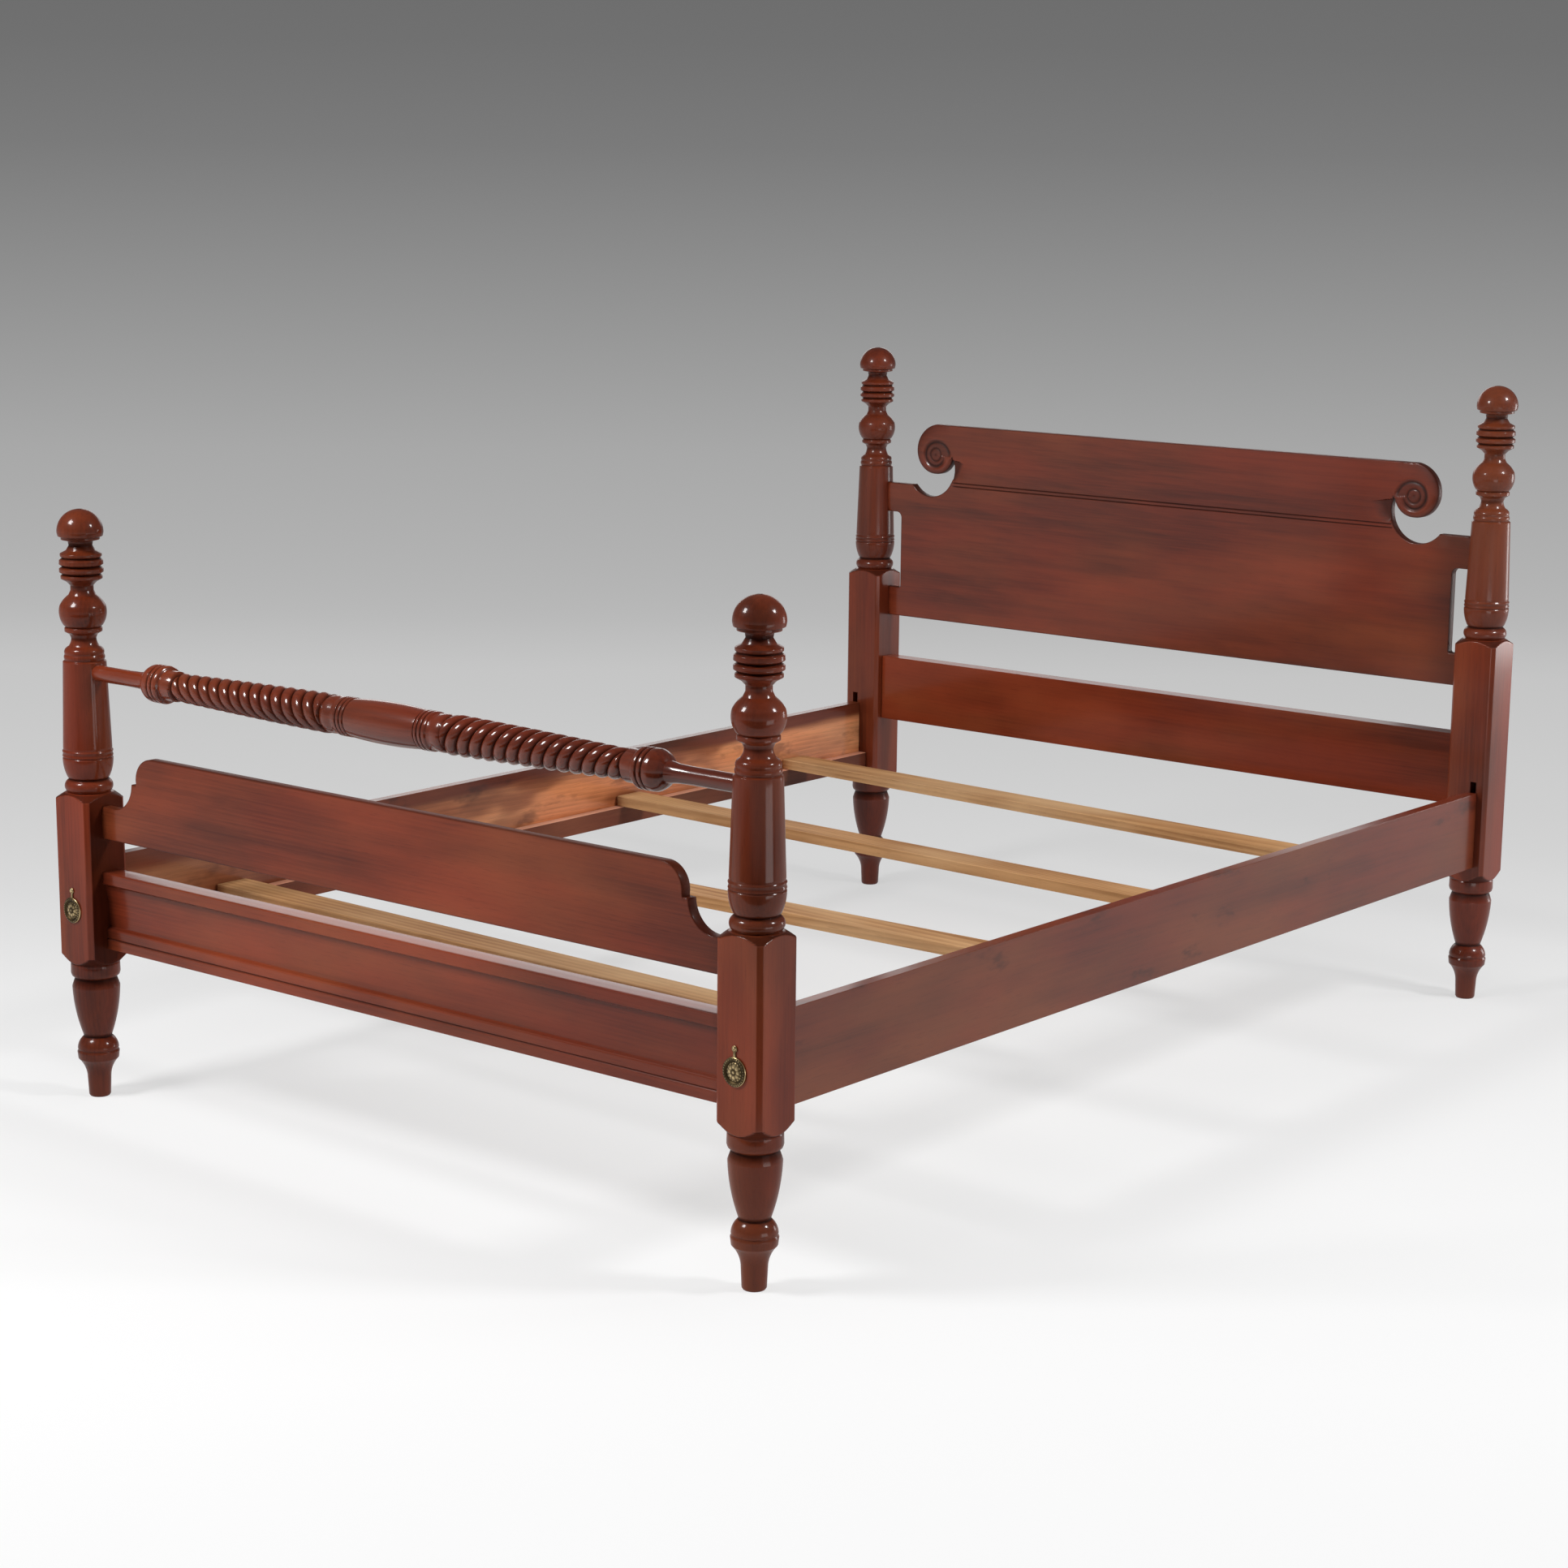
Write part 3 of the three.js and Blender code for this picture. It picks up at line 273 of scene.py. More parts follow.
def kept_points(line, longest=LONGEST_STEP):
    """Indices of the points that a line needs to stay within the tolerance of itself."""
    kept = [0]
    start = 0
    while start < len(line) - 1:
        end = start + 1
        while end + 1 < len(line):
            candidate = end + 1
            chord = line[candidate] - line[start]
            length = np.hypot(*chord)
            between = line[start + 1:candidate] - line[start]
            away = np.abs(between[:, 0] * chord[1] - between[:, 1] * chord[0])
            if length > longest or (length > 0 and away.max() / length > TOLERANCE):
                break
            end = candidate
        kept.append(end)
        start = end
    return kept


def window_extreme(values, reach, pick):
    """The least or the greatest value within reach of each place."""
    padded = np.pad(values, reach, mode="edge")
    return pick(np.lib.stride_tricks.sliding_window_view(padded, 2 * reach + 1), axis=1)


def groove_depth(radii, reach, full):
    """How deep each point lies in grooves up to two reaches wide, from 0 to 1 at the full depth."""
    closed = window_extreme(window_extreme(radii, reach, np.max), reach, np.min)
    return np.clip((closed - radii) / full, 0, 1)


def bump_at(value, centre, half):
    """A smooth hump of height 1 round a centre."""
    return np.clip(1 - ((value - centre) / half) ** 2, 0, 1) ** 2


# Meshes

def placed(points):
    """Points in millimetres round the middle of the bed, in the frame's metres."""
    return (np.asarray(points, float) * MM + [0, SHIFT, 0]).tolist()


def new_object(name, points, faces):
    mesh = bpy.data.meshes.new(name)
    mesh.from_pydata(points, [], faces)
    made = bpy.data.objects.new(name, mesh)
    bpy.context.scene.collection.objects.link(made)
    return made


def shade(mesh):
    """Smooth shading between edges sharper than the crease."""
    mesh.shade_smooth()
    mesh.set_sharp_from_angle(angle=CREASE)


def make_piece(name, points, faces, dark, body="frame"):
    """A mesh in place of the CAD node of that name, with how dark each of its points lies."""
    piece = new_object(name, placed(points), faces)
    layer = piece.data.attributes.new("groove", "FLOAT", "POINT")
    layer.data.foreach_set("value", np.asarray(dark, np.float32))
    shade(piece.data)
    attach(piece, body)
    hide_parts(name)
    return piece


def grid_faces(rows, columns, ring=False):
    """Quads of a grid whose columns close on themselves, as its rows do in a ring."""
    faces = []
    for i in range(rows if ring else rows - 1):
        near = i * columns
        far = (i + 1) % rows * columns
        for k in range(columns):
            beside = (k + 1) % columns
            faces.append((near + k, near + beside, far + beside, far + k))
    return faces


def capped_grid(points):
    """Points and faces of a closed surface of rows of points, with a pole in each end row."""
    rows, columns, _ = points.shape
    faces = grid_faces(rows, columns)
    first = rows * columns
    last_row = first - columns
    for k in range(columns):
        beside = (k + 1) % columns
        faces.append((first, beside, k))
        faces.append((first + 1, last_row + k, last_row + beside))
    poles = [points[0].mean(axis=0), points[-1].mean(axis=0)]
    return np.concatenate([points.reshape(-1, 3), poles]), faces


def make_rows(name, grid, dark, at_poles=0.0):
    """A piece whose surface runs over rows of points, closed by a pole at either end."""
    points, faces = capped_grid(grid)
    return make_piece(name, points, faces, np.append(dark, [at_poles, at_poles]))


def joined(*parts):
    """Several closed surfaces as one set of points and faces."""
    points, faces, first = [], [], 0
    for some_points, some_faces in parts:
        points.append(np.asarray(some_points, float))
        faces += [tuple(first + i for i in face) for face in some_faces]
        first += len(some_points)
    return np.concatenate(points), faces


def turned(profile, axis, centre, sides):
    """A turning about a line along X or Y, from radii and places on it.

    The centre gives the line's place on the other level axis, and its height.
    """
    turns = np.arange(sides) * 2 * math.pi / sides
    grid = np.empty((len(profile), sides, 3))
    for row, (radius, place) in zip(grid, profile):
        row[:, axis] = place
        row[:, 1 - axis] = centre[0] + radius * np.cos(turns)
        row[:, Z] = centre[1] + radius * np.sin(turns)
    return capped_grid(grid)


def rod(radius, axis, start, end, centre):
    return turned([(radius, end), (radius, start)], axis, centre, 32)


def box_mesh(x, y, z):
    """Points and faces of a box between two places on each axis."""
    points = [(a, b, c) for a in sorted(x) for b in sorted(y) for c in sorted(z)]
    faces = [(0, 1, 3, 2), (4, 6, 7, 5), (0, 4, 5, 1), (2, 3, 7, 6), (0, 2, 6, 4), (1, 5, 7, 3)]
    return points, faces


def cut_away(piece, cutters):
    """Cuts closed surfaces out of a piece, then marks its sharp edges again."""
    helpers = []
    for points, faces in cutters:
        helper = new_object("cutter", placed(points), faces)
        helpers.append(helper)
        hole = piece.modifiers.new("hole", "BOOLEAN")
        hole.operation = "DIFFERENCE"
        hole.solver = "EXACT"
        hole.object = helper
    bpy.context.view_layer.update()
    depsgraph = bpy.context.evaluated_depsgraph_get()
    cut = bpy.data.meshes.new_from_object(piece.evaluated_get(depsgraph))
    piece.modifiers.clear()
    piece.data = cut
    for helper in helpers:
        bpy.data.objects.remove(helper)
    shade(cut)


# Posts

def soft_least(a, b, blend):
    """The lesser of two values, rounded where they meet."""
    overlap = np.maximum(blend - np.abs(a - b), 0) / blend
    return np.minimum(a, b) - overlap ** 2 * blend / 4


def block_radius(angles):
    """Distance from the axis to the chamfered square at each angle."""
    across = np.maximum(np.abs(np.cos(angles)), np.abs(np.sin(angles)))
    corner = (np.abs(np.cos(angles)) + np.abs(np.sin(angles))) / math.sqrt(2)
    chamfer = (2 * HALF_BLOCK - BLOCK_CHAMFER) / math.sqrt(2)
    return soft_least(HALF_BLOCK / across, chamfer / corner, 0.7)


def post_angles():
    """Columns round a post, close together beside the block's chamfers."""
    edge = math.degrees(math.atan2(HALF_BLOCK - BLOCK_CHAMFER, HALF_BLOCK))
    face = np.linspace(0, edge - 1.4, 9)
    corner = np.array([edge - 0.6, edge, edge + 0.7, 43])
    quarter = np.concatenate([face, corner, [45], 90 - corner[::-1], 90 - face[:0:-1]])
    return np.radians(np.concatenate([turn + quarter for turn in (0, 90, 180, 270)]))


def post_rows(block_top):
    """Radius and height of each row of a post, and how deep it lies in a groove."""
    outline = leg_profile() + shoulder_profile(block_top) + upper_profile(block_top)
    line = softened(outline, 0.35)
    line[0] = outline[0]
    line[:, 0] = np.maximum(line[:, 0], 0)
    groove = groove_depth(line[:, 0], 24, 2.2)
    in_block = (line[:, 1] > BLOCK_BOTTOM - 6) & (line[:, 1] < block_top + 3)
    groove[in_block] = 0
    kept = set(kept_points(line))
    for low, high in ((BLOCK_BOTTOM, BLOCK_BOTTOM + 22), (block_top - 16, block_top)):
        in_shoulder = np.nonzero((line[:, 1] > low) & (line[:, 1] < high))[0]
        kept.update(in_shoulder[::4].tolist())
    kept = sorted(kept)[1:-1]
    return line[kept], groove[kept]


def make_post(name, x, y, block_top, inner_shade=0.0):
    """A turned post whose block stays square, with painted shade on its shoulders and on the face
    towards the other post.
    """
    rows, groove = post_rows(block_top)
    angles = post_angles()
    radii = soft_least(rows[:, :1], block_radius(angles)[None, :], 0.8)
    heights = np.repeat(rows[:, 1:2], len(angles), axis=1)
    grid = np.stack([x + radii * np.cos(angles), y + radii * np.sin(angles), heights], axis=2)
    is_turned = rows[:, :1] < block_radius(angles)[None, :] - 0.4
    in_block = (heights > BLOCK_BOTTOM + 0.5) & (heights < block_top - 0.5)
    # A darker stain on the turnings, and painted shade on the turned shoulders at the block's ends.
    stain = np.where(in_block, SHOULDER_SHADE, TURNED_SHADE) * is_turned
    # Painted shade on the block's face towards the other post.
    faces_in = np.cos(angles)[None, :] * -np.sign(x) > math.cos(math.radians(39))
    stain = np.maximum(stain, inner_shade * in_block * faces_in)
    return make_rows(name, grid, np.maximum(groove[:, None], stain), TURNED_SHADE)


def foot_post_holes(word, side):
    """The bed bolt's recess and bore, and the hole of the cover's pin."""
    bolt = (side * BOLT_X, BOLT_HEIGHT)
    pin = (middle(f"cover_pin_{word}", X), COVER_PIN_HEIGHT)
    return [
        rod(BOLT_RECESS_RADIUS, Y, FRONT_Y - 5, FRONT_Y + BOLT_RECESS_DEPTH, bolt),
        rod(BOLT_HOLE_RADIUS, Y, FRONT_Y + BOLT_RECESS_DEPTH - 4, -FACE_Y + 5, bolt),
        rod(PIN_HOLE_RADIUS, Y, FRONT_Y - 5, FRONT_Y + COVER_PIN_DEPTH + 0.3, pin),
    ]


def head_post_holes(side):
    """The slot for the rail's hooks, the holes of its pins, and old screw holes."""
    x = side * HOOK_X
    wide, deep = HOOK_SLOT_WIDTH / 2, FACE_Y + HOOK_SLOT_DEPTH
    holes = [box_mesh((x - wide, x + wide), (FACE_Y - 5, deep), HOOK_SLOT_HEIGHTS)]
    reach = HOOK_HOLE_LENGTH / 2
    for height in HOOK_PIN_HEIGHTS:
        holes.append(rod(HOOK_HOLE_RADIUS, X, x - reach, x + reach, (HOOK_PIN_Y, height)))
    start, end = sorted((side * (INNER_X - 5), side * (INNER_X + 10)))
    for along, height in OLD_HOLE_PLACES:
        holes.append(rod(OLD_HOLE_RADIUS, X, start, end, (POST_Y + along, height)))
    return holes


# Blanket rail

def rope_radius(along, strand):
    """Radius of the rope turning and its groove depth, at places along it and round it."""
    share = np.clip((along - ROPE_START) / (ROPE_END - ROPE_START), 0, 1)
    ridge = ROPE_INNER_RADIUS + (ROPE_OUTER_RADIUS - ROPE_INNER_RADIUS) * share ** ROPE_TAPER
    across = np.abs(np.sin(math.pi * strand))
    depth = 1 - across ** 0.62
    return ridge * (1 - 0.2 * depth), depth


def blanket_rows():
    """Radius, place and groove depth of each row of half of the rail. The rope's radius stays 0."""
    rows = []
    for points in blanket_profiles():
        line = softened(points, 0.3)
        groove = groove_depth(line[:, 0], 16, 1.8)
        kept = kept_points(line)
        rows.append(np.column_stack([line[kept], groove[kept]]))
    steps = np.arange(ROPE_START + 1, ROPE_END - 0.5, ROPE_STEP)
    rope = np.stack([np.zeros(len(steps)), steps, np.zeros(len(steps))], axis=1)
    return np.concatenate([rows[0], rope, rows[1]])


def make_blanket_rail():
    """The rail with its rope turning, wound opposite ways on its two halves."""
    half = blanket_rows()
    whole = np.concatenate([half[::-1] * [1, -1, 1], half[1:]])
    plain, along, groove = whole.T
    per_strand = np.array([0, 0.02, 0.05, 0.09, 0.14, 0.2, 0.27, 0.35, 0.43, 0.5])
    per_strand = np.concatenate([per_strand, 1 - per_strand[-2:0:-1]])
    strand = np.concatenate([per_strand + i for i in range(ROPE_STRANDS)])[None, :]
    away = np.abs(along)[:, None]
    wound = np.clip(away, ROPE_START, ROPE_END) / ROPE_PITCH
    angles = 2 * math.pi * (strand / ROPE_STRANDS - wound)
    rope, valley = rope_radius(away, strand)
    is_rope = (away > ROPE_START) & (away < ROPE_END)
    end_gap = np.minimum(away - ROPE_START, ROPE_END - away)
    tuck = np.clip(1 - end_gap / 3.0, 0, 1) * is_rope
    radii = np.where(is_rope, rope * (1 - 0.12 * tuck), plain[:, None])
    # Painted shade in the rope's valleys and where the rope tucks into the beads at its ends.
    dark = np.where(is_rope, np.maximum(valley ** 0.7, tuck), groove[:, None])
    grid = np.stack([
        np.repeat(along[:, None], strand.size, axis=1),
        -POST_Y + radii * np.sin(angles),
        BLANKET_HEIGHT - radii * np.cos(angles),
    ], axis=2)
    return make_rows("blanket_rail", grid, np.maximum(dark, RAIL_SHADE))


# Boards with an outline in X and Z

EYE = (INNER_X - 115.5, HEAD_BLOCK_TOP + 247.5)
TIP_ANGLE = -175.0
SCROLL_RADIUS = 39.5
HOLLOW = (INNER_X - 104, HEAD_BLOCK_TOP + 219.4)
HOLLOW_RADIUS = 58.4
ARM_TOP = HEAD_BLOCK_TOP + 182.6
COLUMN_RADIUS = 36.8
SLOT_BOTTOM = HEAD_BLOCK_TOP - 34
SLOT_TOP = HEAD_BLOCK_TOP + 123
SLOT_WIDTH = 30
SLOT_CORNER = 12
SLOT_FOOT_CORNER = 4
FOOTBOARD_STEP = 8
LINE_HEIGHTS = (HEAD_BLOCK_TOP + 193, HEAD_BLOCK_TOP + 186)
LINE_REACH = HOLLOW[0] - HOLLOW_RADIUS + 4
LINE_DEPTH = 1.3
CARVED_REACH = 66.0
VALLEY_RADIUS = 26.0
VALLEY_HALF = 5.5
VALLEY_DEPTH = 2.0
RING_RADIUS = 13.0
ROLL_START = 31.0
ROLL_DEPTH = 3.2


def scroll_radius(angle):
    """Radius of the scroll's edge round its eye, at degrees from the level."""
    angle = np.asarray(angle, float)
    low = SCROLL_RADIUS + 2.0 * np.clip((-90 - angle) / 85, 0, 1)
    high = SCROLL_RADIUS + 22.0 * np.clip((angle + 90) / 180, 0, 1) ** 1.3
    return np.where(angle < -90, low, high)


def on_scroll(angle):
    radius = float(scroll_radius(angle))
    turn = math.radians(angle)
    return (EYE[0] + radius * math.cos(turn), EYE[1] + radius * math.sin(turn))


def headboard_half():
    """Right half of the headboard's outline, from the middle of its top to its lower edge."""
    half = [on_scroll(90 + (TIP_ANGLE - 90) * i / 90) for i in range(91)]
    tip = half.pop()
    tip_turn = math.degrees(math.atan2(tip[1] - HOLLOW[1], tip[0] - HOLLOW[0])) % 360
    crest_turn = 360 - math.degrees(math.asin((HOLLOW[1] - ARM_TOP) / HOLLOW_RADIUS))
    half += arc_round(HOLLOW, HOLLOW_RADIUS, tip_turn, crest_turn, 48)
    column = POST_X - COLUMN_RADIUS + INTO_POST
    half += [(column, ARM_TOP), (column, SLOT_TOP)]
    for corner, level, start, steps in (
        (SLOT_CORNER, SLOT_TOP - SLOT_CORNER, 90, 12),
        (SLOT_FOOT_CORNER, SLOT_BOTTOM + SLOT_FOOT_CORNER, 180, 6),
    ):
        centre = (INNER_X - SLOT_WIDTH + corner, level)
        half += arc_round(centre, corner, start, start + 90, steps)
    block = INNER_X + INTO_POST
    half += [(block, SLOT_BOTTOM), (block, span("headboard_panel", Z)[0])]
    return half


def footboard_half():
    """Right half of the footboard's outline, from the middle of its top to its lower edge."""
    bottom, top = span("footboard_panel", Z)
    end_top, shelf = FOOT_BLOCK_TOP - 19, FOOT_BLOCK_TOP + 27
    shelf_start, shelf_end, hollow_end = INNER_X - 86, INNER_X - 75, INNER_X - 24
    radius = top - shelf - FOOTBOARD_STEP
    half = arc_round((shelf_start - radius, top - radius), radius, 90, 0, 24)
    half += [(shelf_start, shelf), (shelf_end, shelf)]
    half += arc(half[-1], (shelf_end + 15, shelf - 34), (hollow_end, end_top), 24)
    block = INNER_X + INTO_POST
    half += [(block, end_top), (block, bottom)]
    return half


def inside(points, outline):
    """Which points lie inside a closed outline."""
    x, z = points[:, 0][:, None], points[:, 1][:, None]
    x0, z0 = outline[:, 0][None, :], outline[:, 1][None, :]
    x1, z1 = np.roll(outline[:, 0], -1)[None, :], np.roll(outline[:, 1], -1)[None, :]
    crosses = (z0 > z) != (z1 > z)
    rise = np.where(z1 == z0, 1e-12, z1 - z0)
    return (crosses & (x < (x1 - x0) * (z - z0) / rise + x0)).sum(axis=1) % 2 == 1


def edge_distance(points, outline, batch=2000):
    """Distance from each point to the nearest edge of a closed outline."""
    chord = np.roll(outline, -1, axis=0) - outline
    squared = np.maximum((chord ** 2).sum(axis=1), 1e-12)
    least = np.full(len(points), np.inf)
    for some in range(0, len(points), batch):
        part = points[some:some + batch, None, :] - outline[None, :, :]
        share = np.clip((part * chord).sum(axis=2) / squared, 0, 1)
        gap = part - share[:, :, None] * chord
        least[some:some + batch] = np.sqrt((gap ** 2).sum(axis=2).min(axis=1))
    return least


def ring_points(outline, depth):
    """Points a depth inside an outline, left out where the outline is too sharp for them."""
    before = outline - np.roll(outline, 1, axis=0)
    after = np.roll(outline, -1, axis=0) - outline
    before /= np.linalg.norm(before, axis=1)[:, None]
    after /= np.linalg.norm(after, axis=1)[:, None]
    along = before + after
    along /= np.maximum(np.linalg.norm(along, axis=1)[:, None], 1e-9)
    inward = np.stack([-along[:, 1], along[:, 0]], axis=1)
    moved = outline + inward * depth
    fine = inside(moved, outline) & (edge_distance(moved, outline) > depth * 0.93)
    return moved[fine]


def lattice(outline, step, clearance):
    """An even scatter of points well inside an outline."""
    low, high = outline.min(axis=0), outline.max(axis=0)
    xs = np.arange(low[0] + step / 2, high[0], step)
    zs = np.arange(low[1] + step / 2, high[1], step)
    points = np.array([(x + (i % 2) * step / 2, z) for i, z in enumerate(zs) for x in xs])
    points = points[inside(points, outline)]
    return points[edge_distance(points, outline) > clearance]


def make_board(name, half, extra, relief, ease=1.6):
    """A board as thick as its CAD node, with eased edges, from the right half of its outline.

    Extra gives more points, and relief how far the front is cut back and how dark it lies.
    """
    front, back = span(name, Y)
    left = [(-x, z) for x, z in half]
    corners = left + half[::-1]
    outline = spaced(corners + corners[:1], OUTLINE_STEP)[:-1]
    rings = [ring_points(outline, depth) for depth in (0.25 * ease, 0.6 * ease, ease, ease + 1)]
    fields = [outline] + rings + [lattice(outline, LATTICE_STEP, ease + 5)] + extra(outline)
    flat = [Vector(point) for point in np.concatenate(fields)]
    loop = [(i, (i + 1) % len(outline)) for i in range(len(outline))]
    made, _, triangles, origins, _, _ = delaunay_2d_cdt(flat, loop, [], 1, 1e-5)
    spots = np.array([(v.x, v.y) for v in made])
    on_edge = {}
    for i, sources in enumerate(origins):
        on_edge.update({source: i for source in sources if source < len(outline)})
    distance = edge_distance(spots, outline)
    distance[list(on_edge.values())] = 0
    eased = ease - np.sqrt(np.maximum(ease ** 2 - np.maximum(ease - distance, 0) ** 2, 0))
    cut, groove = relief(spots)
    count = len(spots)
    front_face = np.stack([spots[:, 0], front + eased + cut, spots[:, 1]], axis=1)
    back_face = np.stack([spots[:, 0], back - eased, spots[:, 1]], axis=1)
    faces = [tuple(triangle) for triangle in triangles]
    faces += [tuple(count + i for i in reversed(triangle)) for triangle in triangles]
    for i, after in loop:
        a, b = on_edge[i], on_edge[after]
        if a != b:
            faces.append((b, a, count + a, count + b))
    worn = EDGE_SHADE * np.clip(1 - distance / (1.6 * ease), 0, 1)
    dark = np.concatenate([np.maximum(groove, worn), worn])
    return make_piece(name, np.concatenate([front_face, back_face]), faces, dark)


def headboard_relief(spots):
    """The carved scrolls and the two incised lines: how deep, and how dark, with painted shade in the
    lines and in the carving, and a darker right end.
    """
    x, z = np.abs(spots[:, 0]), spots[:, 1]
    cut = np.zeros(len(spots))
    dark = np.zeros(len(spots))
    for height in LINE_HEIGHTS:
        line = bump_at(z, height, 1.7) * (x < LINE_REACH)
        cut += LINE_DEPTH * line
        # Painted shade and dirt in the incised lines.
        dark = np.maximum(dark, line)
    out = np.hypot(x - EYE[0], z - EYE[1])
    angle = np.degrees(np.arctan2(z - EYE[1], x - EYE[0]))
    # Turn from the notch over the top and down the outer side, 0 at the notch and 1 back there.
    wound = np.mod(180 + 5 - angle, 360) / 360
    rim = scroll_radius(np.where(angle > 175, 90, angle))
    carved = (out < CARVED_REACH) & (wound < 0.985)
    valley_at = VALLEY_RADIUS + 11 * (1 - np.clip(wound / 0.3, 0, 1)) ** 1.5
    valley_at -= 3 * np.clip(2 * wound - 1, 0, 1)
    ends = np.clip(wound / 0.04, 0, 1) * np.clip((1 - wound) / 0.12, 0, 1)
    valley = bump_at(out, valley_at, VALLEY_HALF) * carved * ends
    ring = bump_at(out, RING_RADIUS, 3.2)
    centre = bump_at(out, 0.0, 4.0)
    over = np.clip((out - ROLL_START) / np.maximum(rim - ROLL_START, 1), 0, 1) ** 2
    over *= carved * np.clip((wound - 0.16) / 0.2, 0, 1)
    inner = (out < valley_at) & carved
    dish = 0.8 * inner * (1 - valley) * np.clip((valley_at - out) / 4, 0, 1)
    cut += VALLEY_DEPTH * valley + 1.0 * ring + 0.5 * centre + ROLL_DEPTH * over + dish
    # Painted shade in the carving: in the valley, the eye's ring and centre, over the disc inside the
    # valley, and on the rim that rolls away.
    stain = 0.75 * valley + 0.5 * ring + 0.3 * centre + 0.75 * over + 0.42 * inner
    dark = np.maximum(dark, np.clip(stain, 0, 1))
    right_end = 0.5 * np.clip((spots[:, 0] - 575) / 60, 0, 1) * (z < HEAD_BLOCK_TOP + 183)
    return cut, np.maximum(dark, right_end)


def headboard_extra(outline):
    """Fields of extra points where the headboard is carved."""
    spots = []
    for out in np.arange(1.5, 64, 1.5):
        count = max(8, int(2 * math.pi * out / 1.9))
        angles = np.arange(count) * 2 * math.pi / count + out
        ring = np.stack([EYE[0] + out * np.cos(angles), EYE[1] + out * np.sin(angles)], axis=1)
        spots.append(ring)
    scroll = np.concatenate(spots + [np.array([EYE])])
    scroll = scroll[inside(scroll, outline)]
    scroll = scroll[edge_distance(scroll, outline) > 3.2]
    xs = np.arange(-LINE_REACH, LINE_REACH, 5.0)
    rows = []
    for height in LINE_HEIGHTS:
        for off in (-2.2, -1.7, -0.9, 0, 0.9, 1.7, 2.2):
            rows.append(np.stack([xs, np.full(len(xs), height + off)], axis=1))
    return [scroll, scroll * [-1, 1]] + rows


def footboard_relief(spots):
    """Nothing is cut back, and the face darkens beside the posts: painted shade with dirt in the
    joints.
    """
    dirt = 0.5 * np.clip((np.abs(spots[:, 0]) - INNER_X + 40) / 40, 0, 1)
    return np.zeros(len(spots)), dirt


def nothing_extra(outline):
    return []


def foot_rail_section():
    """The foot rail's section, as places behind its front and above its lower edge."""
    front, back = span("foot_rail", Y)
    bottom, top = span("foot_rail", Z)
    thick, high = back - front, top - bottom
    section = [(thick, 0), (thick, high), (2, high)]
    section += arc(section[-1], (0.6, high - 0.6), (0, high - 2), 3)
    section += [(0, 110), (5, 107)]
    section += arc(section[-1], (10.8, 74), (13.5, 41), 18)
    section += [(13.5, 37), (6.5, 34.5), (5.5, 32), (5.5, 19.5), (7.5, 17.5), (5.5, 15.5), (5.5, 0)]
    return section + section[:1]


def make_foot_rail():
    """The moulded board below the footboard, darker at its ends with painted shade and dirt beside
    the posts, and darker towards the right.
    """
    line = softened(foot_rail_section(), 0.5)
    kept = kept_points(line, 14)[:-1]
    section = line[kept][::-1]
    groove = groove_depth(-line[:, 0], 20, 2.2)[kept][::-1]
    behind, up = section.T
    # Painted shade under the lip, where the top of the hollow faces down.
    under_lip = 0.4 * bump_at(up, 108, 17)
    groove = np.maximum(groove, under_lip) * (behind > 1.5) * (behind < 20)
    reach = INNER_X + INTO_POST
    stations = np.linspace(-reach, reach, 41)
    darker = 0.2 * np.clip((stations - 100) / 500, 0, 1)
    # Painted shade and dirt beside the posts, fading over one station.
    darker[[0, -1]] = 0.7
    front, bottom = span("foot_rail", Y)[0], span("foot_rail", Z)[0]
    grid = np.array([[(x, front + back, bottom + high) for back, high in section] for x in stations])
    return make_rows("foot_rail", grid, np.maximum(groove[None, :], darker[:, None]))


# Brass covers and their pins

DOME_SHARE = 0.66
DOME_HEIGHT = 2.6


def cover_face(share, turn):
    """Height of a cover's face above the block at a share of its radius, and how low it lies."""
    dome = 1.0 + DOME_HEIGHT * np.clip(1 - (share / DOME_SHARE) ** 2, 0, 1) ** 0.75
    bead = np.sin(np.pi * np.clip((share - DOME_SHARE) / 0.37, 0, 1)) ** 0.8
    rim = 0.9 + DOME_HEIGHT * bead
    face = np.maximum(dome, rim)
    petals = np.abs(np.cos(4 * turn)) ** 0.6 * bump_at(share, 0.37, 0.2)
    leaves = np.abs(np.sin(8 * turn)) ** 1.5 * bump_at(share, 0.585, 0.085)
    beads = np.clip(np.cos(30 * turn), 0, 1) * bump_at(share, 0.865, 0.075)
    boss = bump_at(share, 0.0, 0.15)
    raised = 0.55 * petals + 0.4 * leaves + 0.45 * beads + 0.55 * boss
    moat = bump_at(share, 0.71, 0.06) + 0.5 * bump_at(share, 0.19, 0.05)
    low = np.clip(0.95 - 1.9 * raised + 0.4 * moat, 0, 1) * (share < 0.96)
    return face + raised, low


def hanging_ring(x, face_y, sides=48):
    """The small ring round the pin, with rounded edges."""
    section = [(1.6, -0.2), (1.9, 0), (4.3, 0), (4.6, -0.3)]
    section += [(4.6, -1.3), (4.2, -1.7), (2.0, -1.7), (1.6, -1.4)]
    turns = np.arange(sides) * 2 * math.pi / sides
    points = [
        (x + radius * math.cos(turn), face_y + out, COVER_PIN_HEIGHT + radius * math.sin(turn))
        for turn in turns for radius, out in section
    ]
    return points, grid_faces(sides, len(section), ring=True)


